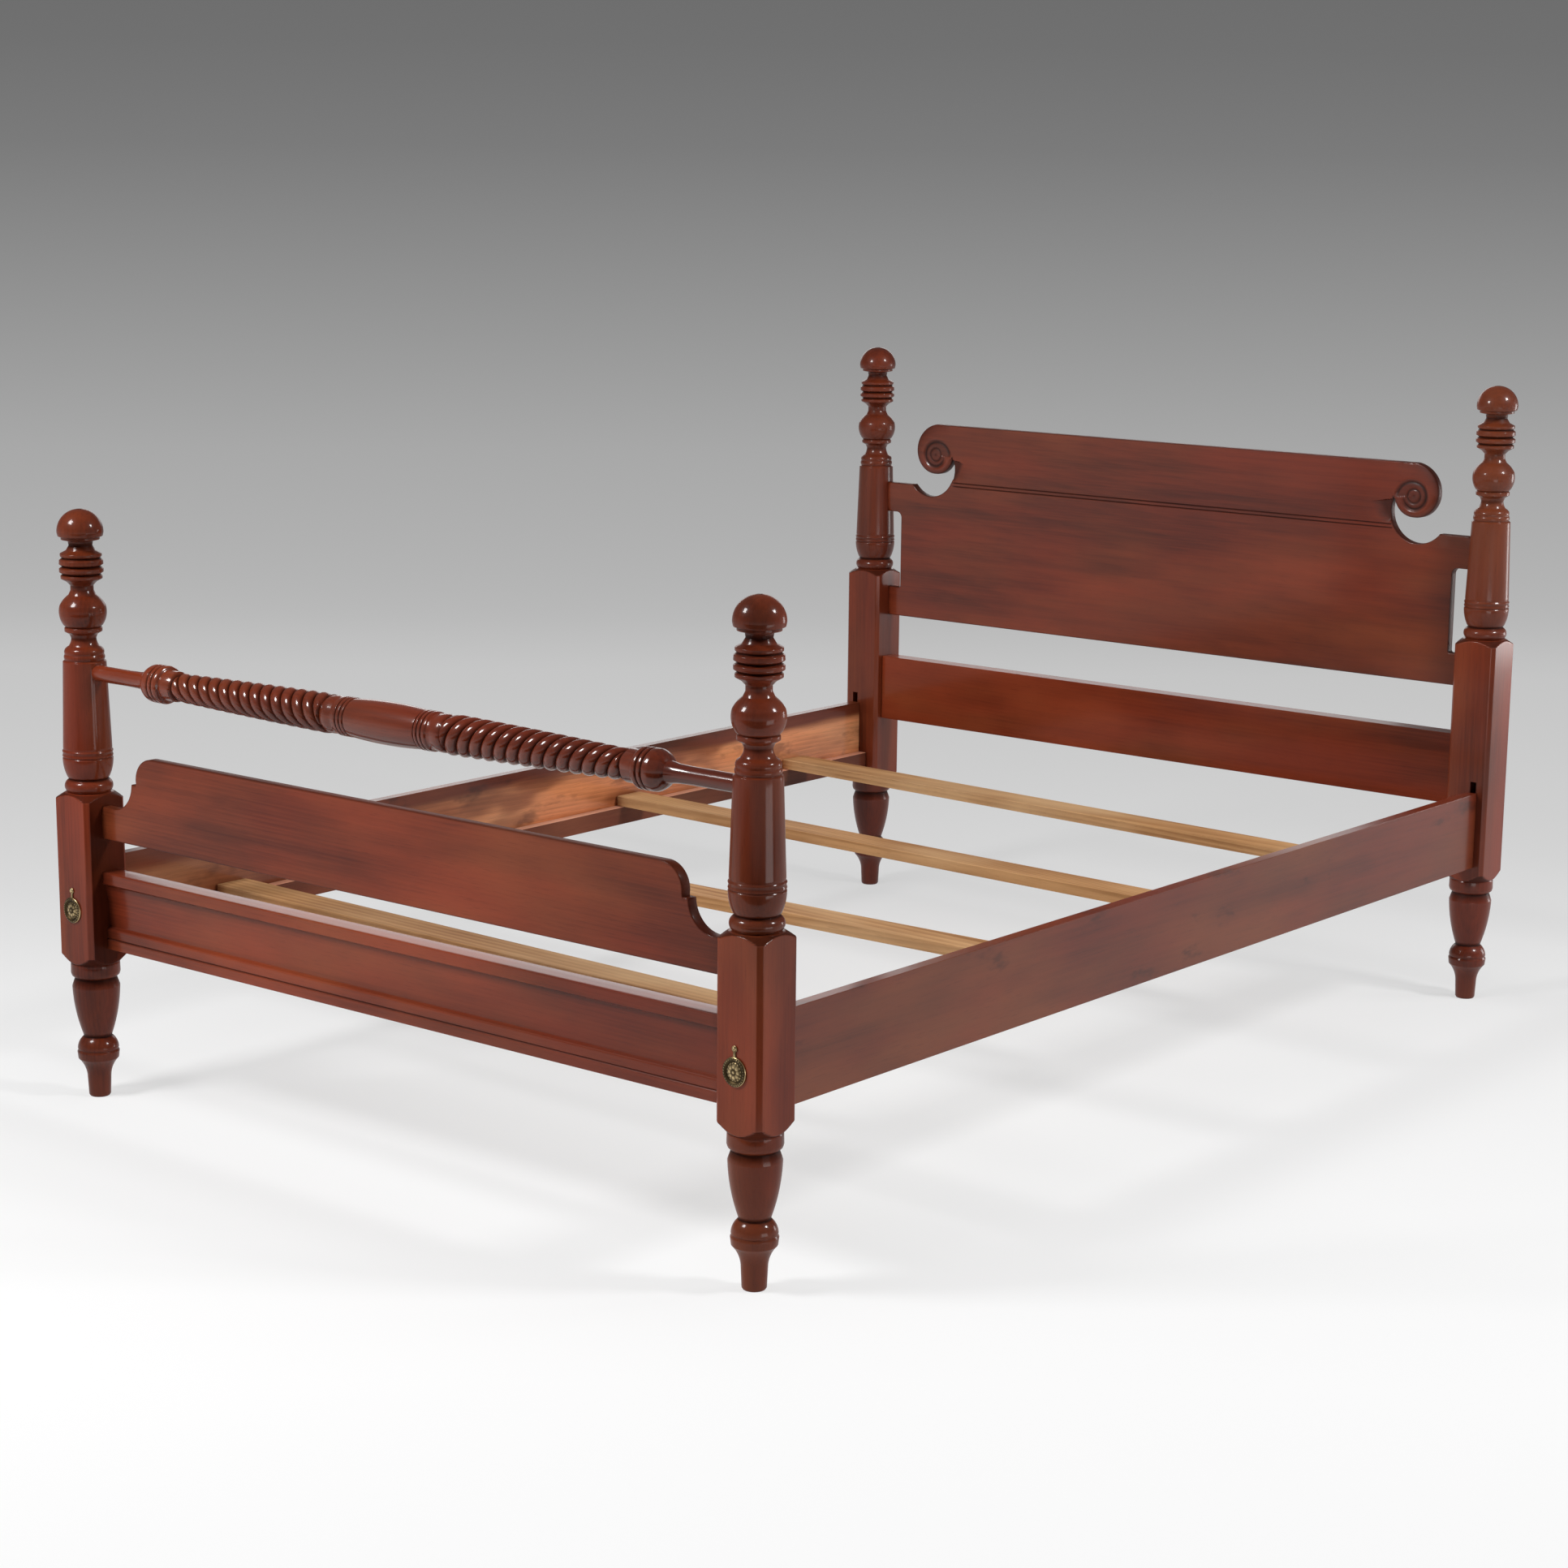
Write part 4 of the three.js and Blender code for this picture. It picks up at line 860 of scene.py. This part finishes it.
def make_cover(word):
    """An oval of thin stamped brass with a beaded rim, hung by a small ring from its pin."""
    x = middle(f"cover_pin_{word}", X)
    face_y = FRONT_Y - COVER_GAP
    shares = np.concatenate([np.linspace(0.012, 0.985, 62), [1.0]])
    turns = np.arange(240)[::-1] * 2 * math.pi / 240
    share, turn = np.meshgrid(shares, turns, indexing="ij")
    height, low = cover_face(share, turn)
    height[-1] = 1.0
    across = x + COVER_HALF_WIDTH * share * np.cos(turn)
    up = BOLT_HEIGHT + COVER_HALF_HEIGHT * share * np.sin(turn)
    front = np.stack([across, face_y - height, up], axis=2)
    rim = front[-1:].copy()
    rim[:, :, Y] = face_y
    hollow = front[-2::-6].copy()
    hollow[:, :, Y] = np.minimum(face_y, hollow[:, :, Y].mean(axis=1, keepdims=True) + 1.3)
    oval, oval_faces = capped_grid(np.concatenate([front, rim, hollow]))
    neck = box_mesh(
        (x - 1.8, x + 1.8), (face_y - 1.4, face_y - 0.1), (BOLT_HEIGHT + 19, COVER_PIN_HEIGHT - 3),
    )
    points, faces = joined((oval, oval_faces), hanging_ring(x, face_y), neck)
    dark = np.full(len(points), 0.25)
    dark[:len(oval)] = 0.5
    dark[:low.size] = low.reshape(-1)
    return make_piece(f"bolt_cover_{word}", points, faces, dark, f"cover_{word}")


def make_cover_pin(word):
    name = f"cover_pin_{word}"
    profile = [(1.2, FRONT_Y + 14), (1.5, FRONT_Y + 12), (1.5, FRONT_Y - 2.2), (3.2, FRONT_Y - 2.2)]
    profile += arc((3.2, FRONT_Y - 2.5), (2.3, FRONT_Y - 3.6), (0.05, FRONT_Y - 4), 8)
    points, faces = turned(profile, Y, (middle(name, X), COVER_PIN_HEIGHT), 28)
    return make_piece(name, points, faces, np.zeros(len(points)))


# Materials

def linear(code):
    """A colour written as three numbers from 0 to 255, for a shader."""
    shares = [value / 255 for value in code]
    return [s / 12.92 if s <= 0.04045 else ((s + 0.055) / 1.055) ** 2.4 for s in shares] + [1.0]


class Graph:
    """Adds nodes to a node tree."""

    def __init__(self, tree):
        self.nodes = tree.nodes
        self.links = tree.links

    def join(self, source, socket):
        if isinstance(source, bpy.types.NodeSocket):
            self.links.new(source, socket)
        else:
            socket.default_value = source

    def node(self, kind, inputs=(), **settings):
        made = self.nodes.new(kind)
        for key, value in settings.items():
            setattr(made, key, value)
        for key, value in dict(inputs).items():
            self.join(value, made.inputs[key])
        return made

    def math(self, operation, a, b=0.0, clamp=False):
        made = self.node("ShaderNodeMath", {0: a, 1: b}, operation=operation, use_clamp=clamp)
        return made.outputs[0]

    def times(self, a, b, clamp=False):
        return self.math("MULTIPLY", a, b, clamp)

    def plus(self, a, b, clamp=False):
        return self.math("ADD", a, b, clamp)

    def seen(self):
        """1 for rays from the camera, off gloss and through glass, and 0 for all others."""
        rays = self.node("ShaderNodeLightPath").outputs
        seen = self.math("MAXIMUM", rays["Is Camera Ray"], rays["Is Glossy Ray"])
        return self.math("MAXIMUM", seen, rays["Is Transmission Ray"])


class Shader(Graph):
    """Builds one material's nodes."""

    def __init__(self, name):
        self.material = bpy.data.materials.new(name)
        self.material.use_nodes = True
        super().__init__(self.material.node_tree)
        self.surface = self.nodes["Principled BSDF"]

    def spread(self, value, low, high, to_low=0.0, to_high=1.0):
        """A value that moves smoothly from one number to another between a low and a high input."""
        made = self.node("ShaderNodeMapRange", {
            "Value": value, "From Min": low, "From Max": high,
            "To Min": to_low, "To Max": to_high,
        }, interpolation_type="SMOOTHSTEP")
        return made.outputs["Result"]

    def mix(self, share, a, b, blend="MIX"):
        made = self.node("ShaderNodeMix", data_type="RGBA", blend_type=blend)
        self.join(share, made.inputs[0])
        self.join(a, made.inputs[6])
        self.join(b, made.inputs[7])
        return made.outputs[2]

    def place(self):
        """The object's coordinates, in metres."""
        coords = self.node("ShaderNodeTexCoord").outputs["Object"]
        return self.node("ShaderNodeSeparateXYZ", {0: coords}).outputs

    def lay_grain(self, seed, grain):
        """Takes the grain's axis first of the coordinates moved by a seed: along, across, across."""
        draw = random.Random(seed)
        shift = [draw.uniform(-3, 3) for _ in range(3)]
        coords = self.node("ShaderNodeTexCoord").outputs["Object"]
        moved = self.node("ShaderNodeVectorMath", {0: coords, 1: shift}, operation="ADD")
        parts = self.node("ShaderNodeSeparateXYZ", {0: moved.outputs[0]}).outputs
        self.parts = [parts[(grain + i) % 3] for i in range(3)]

    def noise(self, along, across, detail, roughness=0.5):
        """Noise that changes about so many times a metre along and across the grain."""
        scaled = [self.times(part, size) for part, size in zip(self.parts, (along, across, across))]
        vector = self.node("ShaderNodeCombineXYZ", enumerate(scaled)).outputs[0]
        made = self.node("ShaderNodeTexNoise", {
            "Vector": vector, "Scale": 1.0, "Detail": detail, "Roughness": roughness,
        })
        return made.outputs["Fac"]

    def attribute(self, name):
        return self.node("ShaderNodeAttribute", attribute_name=name).outputs["Fac"]

    def bump(self, height, strength, distance):
        made = self.node("ShaderNodeBump", {
            "Height": height, "Strength": strength, "Distance": distance,
        })
        self.join(made.outputs["Normal"], self.surface.inputs["Normal"])

    def finish(self, color, roughness, **uniform):
        self.join(color, self.surface.inputs["Base Color"])
        self.join(roughness, self.surface.inputs["Roughness"])
        for key, value in uniform.items():
            self.surface.inputs[key.replace("_", " ")].default_value = value
        return self.material


# What the stain's browner and redder patches do to the colour under them.
BROWN_STAIN = (0.92, 1.08, 1.04, 1.0)
RED_STAIN = (1.06, 0.78, 0.78, 1.0)
# The colour towards which painted shade in grooves and recesses, and dirt, darken the wood.
SHADE_AND_DIRT = linear((24, 7, 4))
# How high the bare wood inside the side rails reaches, in metres.
STAIN_EDGE = 0.405


class Wood(Shader):
    """The layers of a wood's look, from which each kind of wood mixes its colour."""

    def __init__(self, name, seed, grain, pitch=0.007):
        super().__init__(name)
        self.lay_grain(seed, grain)
        self.rings = self.growth_rings(pitch)
        self.streaks = self.noise(0.9, 30.0, 5.0, 0.6)
        self.fibres = self.noise(5.0, 300.0, 3.0, 0.6)
        self.blotches = self.noise(2.4, 8.0, 4.0, 0.55)
        self.pores = self.noise(30.0, 1100.0, 2.0)
        self.clouds = self.noise(1.6, 5.0, 3.0)
        self.patches = self.noise(2.1, 7.0, 2.0, 0.6)

    def growth_rings(self, pitch):
        """Growth rings round a tilted heart, from 0 to 1, one ring each pitch in metres."""
        along, across, up = self.parts
        wander = self.times(self.math("SUBTRACT", self.noise(0.7, 2.0, 2.0), 0.5), 0.03)
        first = self.plus(self.plus(across, self.times(along, 0.035)), wander)
        second = self.plus(up, wander)
        square = self.plus(self.times(first, first), self.times(second, second))
        phase = self.math("FRACT", self.math("DIVIDE", self.math("SQRT", square), pitch))
        rise = self.spread(phase, 0.0, 0.82)
        fall = self.spread(phase, 0.84, 1.0, 1.0, 0.0)
        return self.times(rise, fall)

    def color(self, tones, figure, stained=True):
        """Dark lines of grain on the middle tone, with light, brown and red clouds of stain."""
        dark, middle, light = (linear(tone) for tone in tones)
        line = self.times(self.rings, figure)
        line = self.plus(line, self.times(self.spread(self.streaks, 0.32, 0.74), 0.26))
        line = self.plus(line, self.times(self.spread(self.blotches, 0.34, 0.7), 0.36))
        line = self.plus(line, self.times(self.fibres, 0.42))
        color = self.mix(self.spread(line, 0.21, 1.07, 0.0, 0.9), middle, dark)
        color = self.mix(self.spread(self.clouds, 0.42, 0.7, 0.0, 0.7), color, light)
        if stained:
            browner = self.mix(0.6, color, BROWN_STAIN, blend="MULTIPLY")
            redder = self.mix(0.5, color, RED_STAIN, blend="MULTIPLY")
            color = self.mix(self.spread(self.patches, 0.36, 0.64), redder, browner)
        return self.mix(self.spread(self.pores, 0.58, 0.76, 0.0, 0.42), color, dark)

    def varnish(self, color, gloss=0.36, coat=0.36, sheen=0.1, lathe=0.0):
        """Varnish over a fine open grain, darker and duller where points are painted dark: painted
        shade in grooves and recesses, dirt, and the turnings' darker stain.
        """
        groove = self.attribute("groove")
        # Painted shade and dirt: the wood darkens towards their colour as far as each point is
        # marked.
        color = self.mix(self.times(groove, 0.9, clamp=True), color, SHADE_AND_DIRT)
        rough = self.spread(self.clouds, 0.3, 0.7, gloss - 0.04, gloss + 0.08)
        rough = self.plus(rough, self.times(groove, 0.15))
        relief = self.math("SUBTRACT", self.fibres, self.spread(self.pores, 0.6, 0.76))
        if lathe:
            marks = self.noise(900.0, 3.0, 2.0, 0.6)
            on_turning = self.spread(groove, 0.05, 0.18, 0.0, lathe)
            relief = self.plus(relief, self.times(marks, on_turning))
        self.bump(relief, 0.12, 0.0005)
        if coat:
            worn = self.spread(groove, 0.4, 0.7, coat, 0.1 * coat)
            self.join(worn, self.surface.inputs["Coat Weight"])
        return self.finish(color, rough, Specular_IOR_Level=sheen, Coat_Roughness=0.13)


# Three tones of each wood: its dark lines, its ground and its light clouds.
CHERRY = ((58, 21, 12), (118, 48, 25), (142, 68, 39))
STAINED_RAIL = ((54, 20, 11), (102, 42, 23), (130, 66, 38))
RAW_RAIL = ((118, 62, 35), (222, 140, 90), (248, 188, 136))
LEDGER_SIDE = ((58, 26, 18), (100, 52, 36), (140, 84, 60))
# The ledger's top face: tones painted light.
LEDGER_LIT_TOP = ((150, 92, 66), (212, 150, 122), (232, 184, 158))
SLAT = ((130, 86, 50), (188, 142, 96), (208, 172, 130))


def cherry(name, seed, grain, **varnish):
    made = Wood(f"cherry_{name}", seed, grain)
    return made.varnish(made.color(CHERRY, 0.07), **varnish)


def slat_wood(name, seed):
    made = Wood(name, seed, X, pitch=0.009)
    return made.varnish(made.color(SLAT, 0.3, stained=False), gloss=0.6, coat=0.0)


def rail_wood(name, seed):
    """Stained outside and along its top, and left nearly raw inside, below a ragged edge of stain."""
    made = Wood(name, seed, Y)
    smudge = made.noise(7.0, 17.0, 4.0, 0.6)
    stained = made.color(STAINED_RAIL, 0.06)
    stained = made.mix(made.spread(smudge, 0.6, 0.72, 0.0, 0.55), stained, linear((38, 15, 9)))
    raw = made.color(RAW_RAIL, 0.12, stained=False)
    raw = made.mix(made.spread(smudge, 0.58, 0.7, 0.0, 0.5), raw, linear((84, 42, 26)))
    place = made.place()
    out = made.math("ABSOLUTE", place[X])
    bare = made.spread(out, RAIL_INNER + 0.0003, RAIL_INNER + 0.0015, 1.0, 0.0)
    ragged = made.plus(place[Z], made.times(made.clouds, 0.09))
    bare = made.times(bare, made.spread(ragged, STAIN_EDGE, STAIN_EDGE + 0.02, 1.0, 0.0))
    patch = made.spread(made.noise(2.6, 9.0, 3.0), 0.4, 0.56)
    bare = made.times(bare, made.spread(patch, 0.0, 1.0, 0.3, 1.0))
    towards_head = made.plus(place[Y], made.times(made.blotches, 0.9))
    bare = made.times(bare, made.spread(towards_head, 0.0, 0.55, 0.3, 1.0))
    return made.varnish(made.mix(bare, stained, raw), gloss=0.38, sheen=0.15)


def ledger_wood(name, seed):
    """Stained dark at its side, and much lighter on its top face where the slats lie: painted light
    on the top.
    """
    made = Wood(name, seed, Y)
    side = made.color(LEDGER_SIDE, 0.1)
    face = made.color(LEDGER_LIT_TOP, 0.1, stained=False)
    on_top = made.spread(made.place()[Z], LEDGER_TOP - 0.0007, LEDGER_TOP - 0.0002)
    return made.varnish(made.mix(on_top, side, face), gloss=0.5, coat=0.1)


def metal(name, seed, base, tarnish, rough):
    """Metal with tarnish in its low places and a fine uneven surface."""
    made = Shader(name)
    made.lay_grain(seed, X)
    spots = made.noise(60.0, 60.0, 4.0, 0.6)
    fine = made.noise(900.0, 900.0, 2.0)
    dirt = made.plus(made.spread(spots, 0.45, 0.75, 0.0, 0.6), made.attribute("groove"), clamp=True)
    color = made.mix(dirt, linear(base), linear(tarnish))
    made.bump(fine, 0.15, 0.0002)
    return made.finish(color, made.plus(made.times(dirt, 0.25), rough), Metallic=1.0)


# Building and dressing the pieces

def build_pieces():
    pieces = {}
    for word, side in SIDES:
        foot = f"foot_post_{word}"
        head = f"head_post_{word}"
        pieces[foot] = make_post(foot, side * POST_X, -POST_Y, FOOT_BLOCK_TOP, INNER_SHADE)
        cut_away(pieces[foot], foot_post_holes(word, side))
        pieces[head] = make_post(head, side * POST_X, POST_Y, HEAD_BLOCK_TOP)
        cut_away(pieces[head], head_post_holes(side))
        pieces[f"bolt_cover_{word}"] = make_cover(word)
        pieces[f"cover_pin_{word}"] = make_cover_pin(word)
    pieces["blanket_rail"] = make_blanket_rail()
    pieces["headboard_panel"] = make_board(
        "headboard_panel", headboard_half(), headboard_extra, headboard_relief,
    )
    pieces["footboard_panel"] = make_board(
        "footboard_panel", footboard_half(), nothing_extra, footboard_relief,
    )
    pieces["foot_rail"] = make_foot_rail()
    return pieces


def dress(piece, material):
    piece.data.materials.clear()
    piece.data.materials.append(material)


def soft_edged(node, width):
    """A CAD node with its faces welded together and its sharp edges rounded."""
    piece = frame["nodes"][node]
    weld = piece.modifiers.new("weld", "WELD")
    weld.merge_threshold = 1e-5
    bevel = piece.modifiers.new("bevel", "BEVEL")
    bevel.width = width * MM
    bevel.segments = 2
    bevel.limit_method = "ANGLE"
    bevel.angle_limit = math.radians(35)
    bevel.harden_normals = True
    return piece


# Each cherry piece's grain, the seed of its figure, and its varnish.
FOOT_TURNING = {"lathe": 2.5, "sheen": 0.04}
HEAD_TURNING = {"lathe": 2.5, "sheen": 0.12}
CHERRY_PIECES = (
    ("foot_post_left", Z, 11, FOOT_TURNING),
    ("foot_post_right", Z, 12, FOOT_TURNING),
    ("head_post_left", Z, 13, HEAD_TURNING),
    ("head_post_right", Z, 14, HEAD_TURNING),
    ("blanket_rail", X, 15, {"lathe": 2.0, "gloss": 0.3, "coat": 0.75, "sheen": 0.04}),
    ("headboard_panel", X, 16, {"sheen": 0.22}),
    ("footboard_panel", X, 17, {"sheen": 0.06, "coat": 0.32}),
    ("foot_rail", X, 18, {"sheen": 0.08}),
    ("headboard_rail", X, 34, {"coat": 0.25, "sheen": 0.04}),
)


def dress_all(pieces):
    pieces["headboard_rail"] = soft_edged("headboard_rail", 1.2)
    for name, grain, seed, varnish in CHERRY_PIECES:
        dress(pieces[name], cherry(name, seed, grain, **varnish))
    for i, (word, _) in enumerate(SIDES):
        dress(soft_edged(f"side_rail_{word}", 1.0), rail_wood(f"rail_wood_{word}", 41 + i))
        dress(soft_edged(f"ledger_{word}", 0.8), ledger_wood(f"ledger_wood_{word}", 51 + i))
    for i in range(1, 5):
        dress(soft_edged(f"slat_{i}", 0.6), slat_wood(f"slat_wood_{i}", 61 + i))
    steel = metal("steel", 71, (120, 116, 110), (58, 50, 44), 0.38)
    brass = metal("brass", 72, (196, 172, 128), (66, 54, 36), 0.24)
    for part in frame["record"]["subparts"]:
        node = part["node"]
        if part["material_slot"] == "steel":
            dress(frame["nodes"][node], steel)
        if part["material_slot"] == "brass":
            dress(pieces[node], brass)


# Camera, as fitted to the photograph's pixels

PHOTO_SIZE = 1932
PHOTO_FOCAL_LENGTH = 4008.145
PHOTO_AXIS = (980.046, 1025.854)
SENSOR_WIDTH = 36.0
CAMERA_PLACE = Vector((3.439834, -4.322647 + SHIFT, 1.570510))
CAMERA_RIGHT = Vector((0.7748, 0.6321, 0.0104))
CAMERA_UP = Vector((-0.1413, 0.1571, 0.9774))


def add_camera():
    lens = bpy.data.cameras.new("camera")
    lens.sensor_fit = "HORIZONTAL"
    lens.sensor_width = SENSOR_WIDTH
    lens.lens = SENSOR_WIDTH * PHOTO_FOCAL_LENGTH / PHOTO_SIZE
    lens.shift_x = (PHOTO_SIZE / 2 - PHOTO_AXIS[0]) / PHOTO_SIZE
    lens.shift_y = (PHOTO_AXIS[1] - PHOTO_SIZE / 2) / PHOTO_SIZE
    lens.clip_end = 100
    back = CAMERA_RIGHT.cross(CAMERA_UP).normalized()
    up = back.cross(CAMERA_RIGHT).normalized()
    turn = Matrix((CAMERA_RIGHT, up, back)).transposed().to_4x4()
    camera = bpy.data.objects.new("camera", lens)
    camera.matrix_world = Matrix.Translation(CAMERA_PLACE) @ turn
    bpy.context.scene.collection.objects.link(camera)
    bpy.context.scene.camera = camera


# Lamps and background

WORLD_COLOR = (0.9, 0.95, 1.0, 1)
WORLD_LIGHT = 0.1
WORLD_SEEN = 0.155


def add_lamp(name, place, target, size, power, mirrored=True, lights=True):
    """A rectangle of light, which the gloss may leave out or which only the gloss may see."""
    data = bpy.data.lights.new(name, "AREA")
    data.shape = "RECTANGLE"
    data.size, data.size_y = size
    data.energy = power
    lamp = bpy.data.objects.new(name, data)
    lamp.location = place
    aim = Vector(target) - Vector(place)
    lamp.rotation_euler = aim.to_track_quat("-Z", "Y").to_euler()
    lamp.visible_glossy = mirrored
    lamp.visible_diffuse = lights
    bpy.context.scene.collection.objects.link(lamp)


def add_lamps():
    """Two soft boxes, three wide glows without a reflection, and three screens for the gloss."""
    bed = (0, 0, 0.5)
    add_lamp("softbox_left", (-1.114, -2.885, 2.87), bed, (0.8, 0.8), 99)
    add_lamp("softbox_right", (3.964, 1.139, 3.7), bed, (0.8, 0.8), 142)
    add_lamp("overhead", (0.3, 0.2, 4.4), bed, (3.5, 3.5), 46, mirrored=False)
    add_lamp("side_glow", (2.6, 2.3, 1.3), (0, 0.6, 0.4), (1.2, 1.2), 20, mirrored=False)
    add_lamp("left_glow", (-2.6, -2.6, 0.9), (-0.7, -1.0, 0.4), (1.0, 1.0), 18, mirrored=False)
    add_lamp("side_screen", (2.3, 4.2, 0.7), (0.7, 1.0, 0.5), (1.0, 1.2), 30, lights=False)
    add_lamp("low_strip", (2.4, -1.0, 0.3), (0.0, 0.3, 0.4), (1.1, 0.5), 7, lights=False)
    add_lamp("screen", (-4.6, 5.4, 2.1), (0, 0, 0.6), (5.0, 1.8), 52, lights=False)


def add_world():
    """Dim light from all round, which the camera and the gloss see as grey."""
    world = bpy.data.worlds.new("world")
    bpy.context.scene.world = world
    world.use_nodes = True
    graph = Graph(world.node_tree)
    strength = graph.node("ShaderNodeMapRange", {
        "Value": graph.seen(), "To Min": WORLD_LIGHT, "To Max": WORLD_SEEN,
    })
    background = graph.nodes["Background"]
    graph.join(WORLD_COLOR, background.inputs["Color"])
    graph.join(strength.outputs["Result"], background.inputs["Strength"])


# The stage's level axes: away from the camera, and across its view.
AWAY = Vector((-0.6162, 0.7588, 0)).normalized()
ACROSS = Vector((0.7748, 0.6321, 0)).normalized()
# The backdrop's brightness as the camera sees it, at metres along the sweep from the bed.
SWEEP_PLACES = (-1.5, -0.5, 0.9, 3.7, 5.0, 6.0, 6.6, 7.4, 8.15, 8.7)
SWEEP_TONES = (1.0, 0.92, 0.80, 0.58, 0.49, 0.43, 0.39, 0.29, 0.195, 0.155)
# How much of the floor's look is its tone, at metres ahead, and where all of the wall's is.
GLOW_PLACES = (-3.0, -1.6, 1.0, 4.0)
GLOW_SHARES = (0.85, 0.66, 0.66, 1.0)
WALL_GLOW_PLACES = (4.0, 5.5)
SWEEP_TURNS = np.arange(96) * 2 * math.pi / 96
SWEEP_SQUARENESS = 6
SWEEP_CURVE_START = 5.0
SWEEP_RADIUS = 3.0
PAPER_ALBEDO = 0.87
# The flag's near and far edges in metres ahead, half its width, and its height off the floor.
FLAG_NEAR, FLAG_FAR, FLAG_REACH, FLAG_UP = -2.1, -7.5, 4.0, 0.004


def sweep_profile():
    """The floor and the wall it turns up into, as metres along, out from the middle and up."""
    rows = [(s, s, 0.0) for s in np.arange(0.4, SWEEP_CURVE_START, 0.4)]
    for t in np.linspace(0, math.pi / 2, 22):
        along = SWEEP_CURVE_START + SWEEP_RADIUS * t
        out = SWEEP_CURVE_START + SWEEP_RADIUS * math.sin(t)
        rows.append((along, out, SWEEP_RADIUS * (1 - math.cos(t))))
    top = rows[-1]
    rows += [(top[0] + rise, top[1], top[2] + rise) for rise in (2.0, 9.0)]
    return rows


def tone_at(place):
    return np.interp(place, SWEEP_PLACES, SWEEP_TONES)


def sweep_tone(along, ahead):
    """The tone at metres along the sweep, of which so many lie ahead of the middle."""
    floor = tone_at(min(ahead, SWEEP_CURVE_START))
    return floor * tone_at(max(along, SWEEP_CURVE_START)) / tone_at(SWEEP_CURVE_START)


def sweep_glow(along, ahead):
    """How much of the sweep's look is its tone: the rest is lit and takes shadows."""
    wall = np.interp(along, WALL_GLOW_PLACES, (0, 1))
    return max(np.interp(ahead, GLOW_PLACES, GLOW_SHARES), wall)


def stage_material():
    """White paper: lit near the bed, and beyond it glowing as bright as its place says, painted light
    that darkens with height.
    """
    made = Shader("sweep")
    tone = made.attribute("tone")
    made.finish(made.times(tone, PAPER_ALBEDO), 0.9, Specular_IOR_Level=0.0)
    glow = made.node("ShaderNodeEmission", {"Color": tone, "Strength": 1.0})
    share = made.times(made.seen(), made.attribute("far"))
    blend = made.node("ShaderNodeMixShader", {
        0: share, 1: made.surface.outputs[0], 2: glow.outputs[0],
    })
    made.join(blend.outputs[0], made.nodes["Material Output"].inputs["Surface"])
    return made.material


def add_flag():
    """A black cloth on the floor before the camera, seen only in the gloss of the wood."""
    points = []
    for ahead, side in ((FLAG_NEAR, -1), (FLAG_NEAR, 1), (FLAG_FAR, 1), (FLAG_FAR, -1)):
        spot = AWAY * ahead + ACROSS * side * FLAG_REACH
        points.append((spot.x, spot.y, FLAG_UP))
    flag = new_object("flag", points, [(0, 1, 2, 3)])
    dress(flag, Shader("flag").finish(linear((12, 12, 12)), 1.0, Specular_IOR_Level=0.0))
    flag.visible_camera = False
    flag.visible_diffuse = False
    flag.visible_transmission = False
    flag.visible_shadow = False


def add_stage():
    """A white floor that turns up into a wall all round the bed, with painted light that darkens with
    height.
    """
    points, faces = [(0.0, 0.0, 0.0)], []
    tones, fars = [sweep_tone(0, 0)], [sweep_glow(0, 0)]
    count = len(SWEEP_TURNS)
    for i, (along, out, up) in enumerate(sweep_profile()):
        for k, turn in enumerate(SWEEP_TURNS):
            sides = abs(math.cos(turn)) ** SWEEP_SQUARENESS + abs(math.sin(turn)) ** SWEEP_SQUARENESS
            reach = out * sides ** (-1 / SWEEP_SQUARENESS)
            ahead = reach * math.cos(turn)
            spot = AWAY * ahead + ACROSS * reach * math.sin(turn)
            points.append((spot.x, spot.y, up))
            tones.append(sweep_tone(along, ahead))
            fars.append(sweep_glow(along, ahead))
            here, beside = 1 + i * count + k, 1 + i * count + (k + 1) % count
            faces.append((here - count, beside - count, beside, here) if i else (0, beside, here))
    sweep = new_object("sweep", points, faces)
    for name, values in (("tone", tones), ("far", fars)):
        sweep.data.attributes.new(name, "FLOAT", "POINT").data.foreach_set("value", values)
    sweep.data.shade_smooth()
    dress(sweep, stage_material())


def main():
    bpy.context.scene.view_settings.view_transform = "Standard"
    add_camera()
    add_lamps()
    add_world()
    add_stage()
    add_flag()
    dress_all(build_pieces())


main()
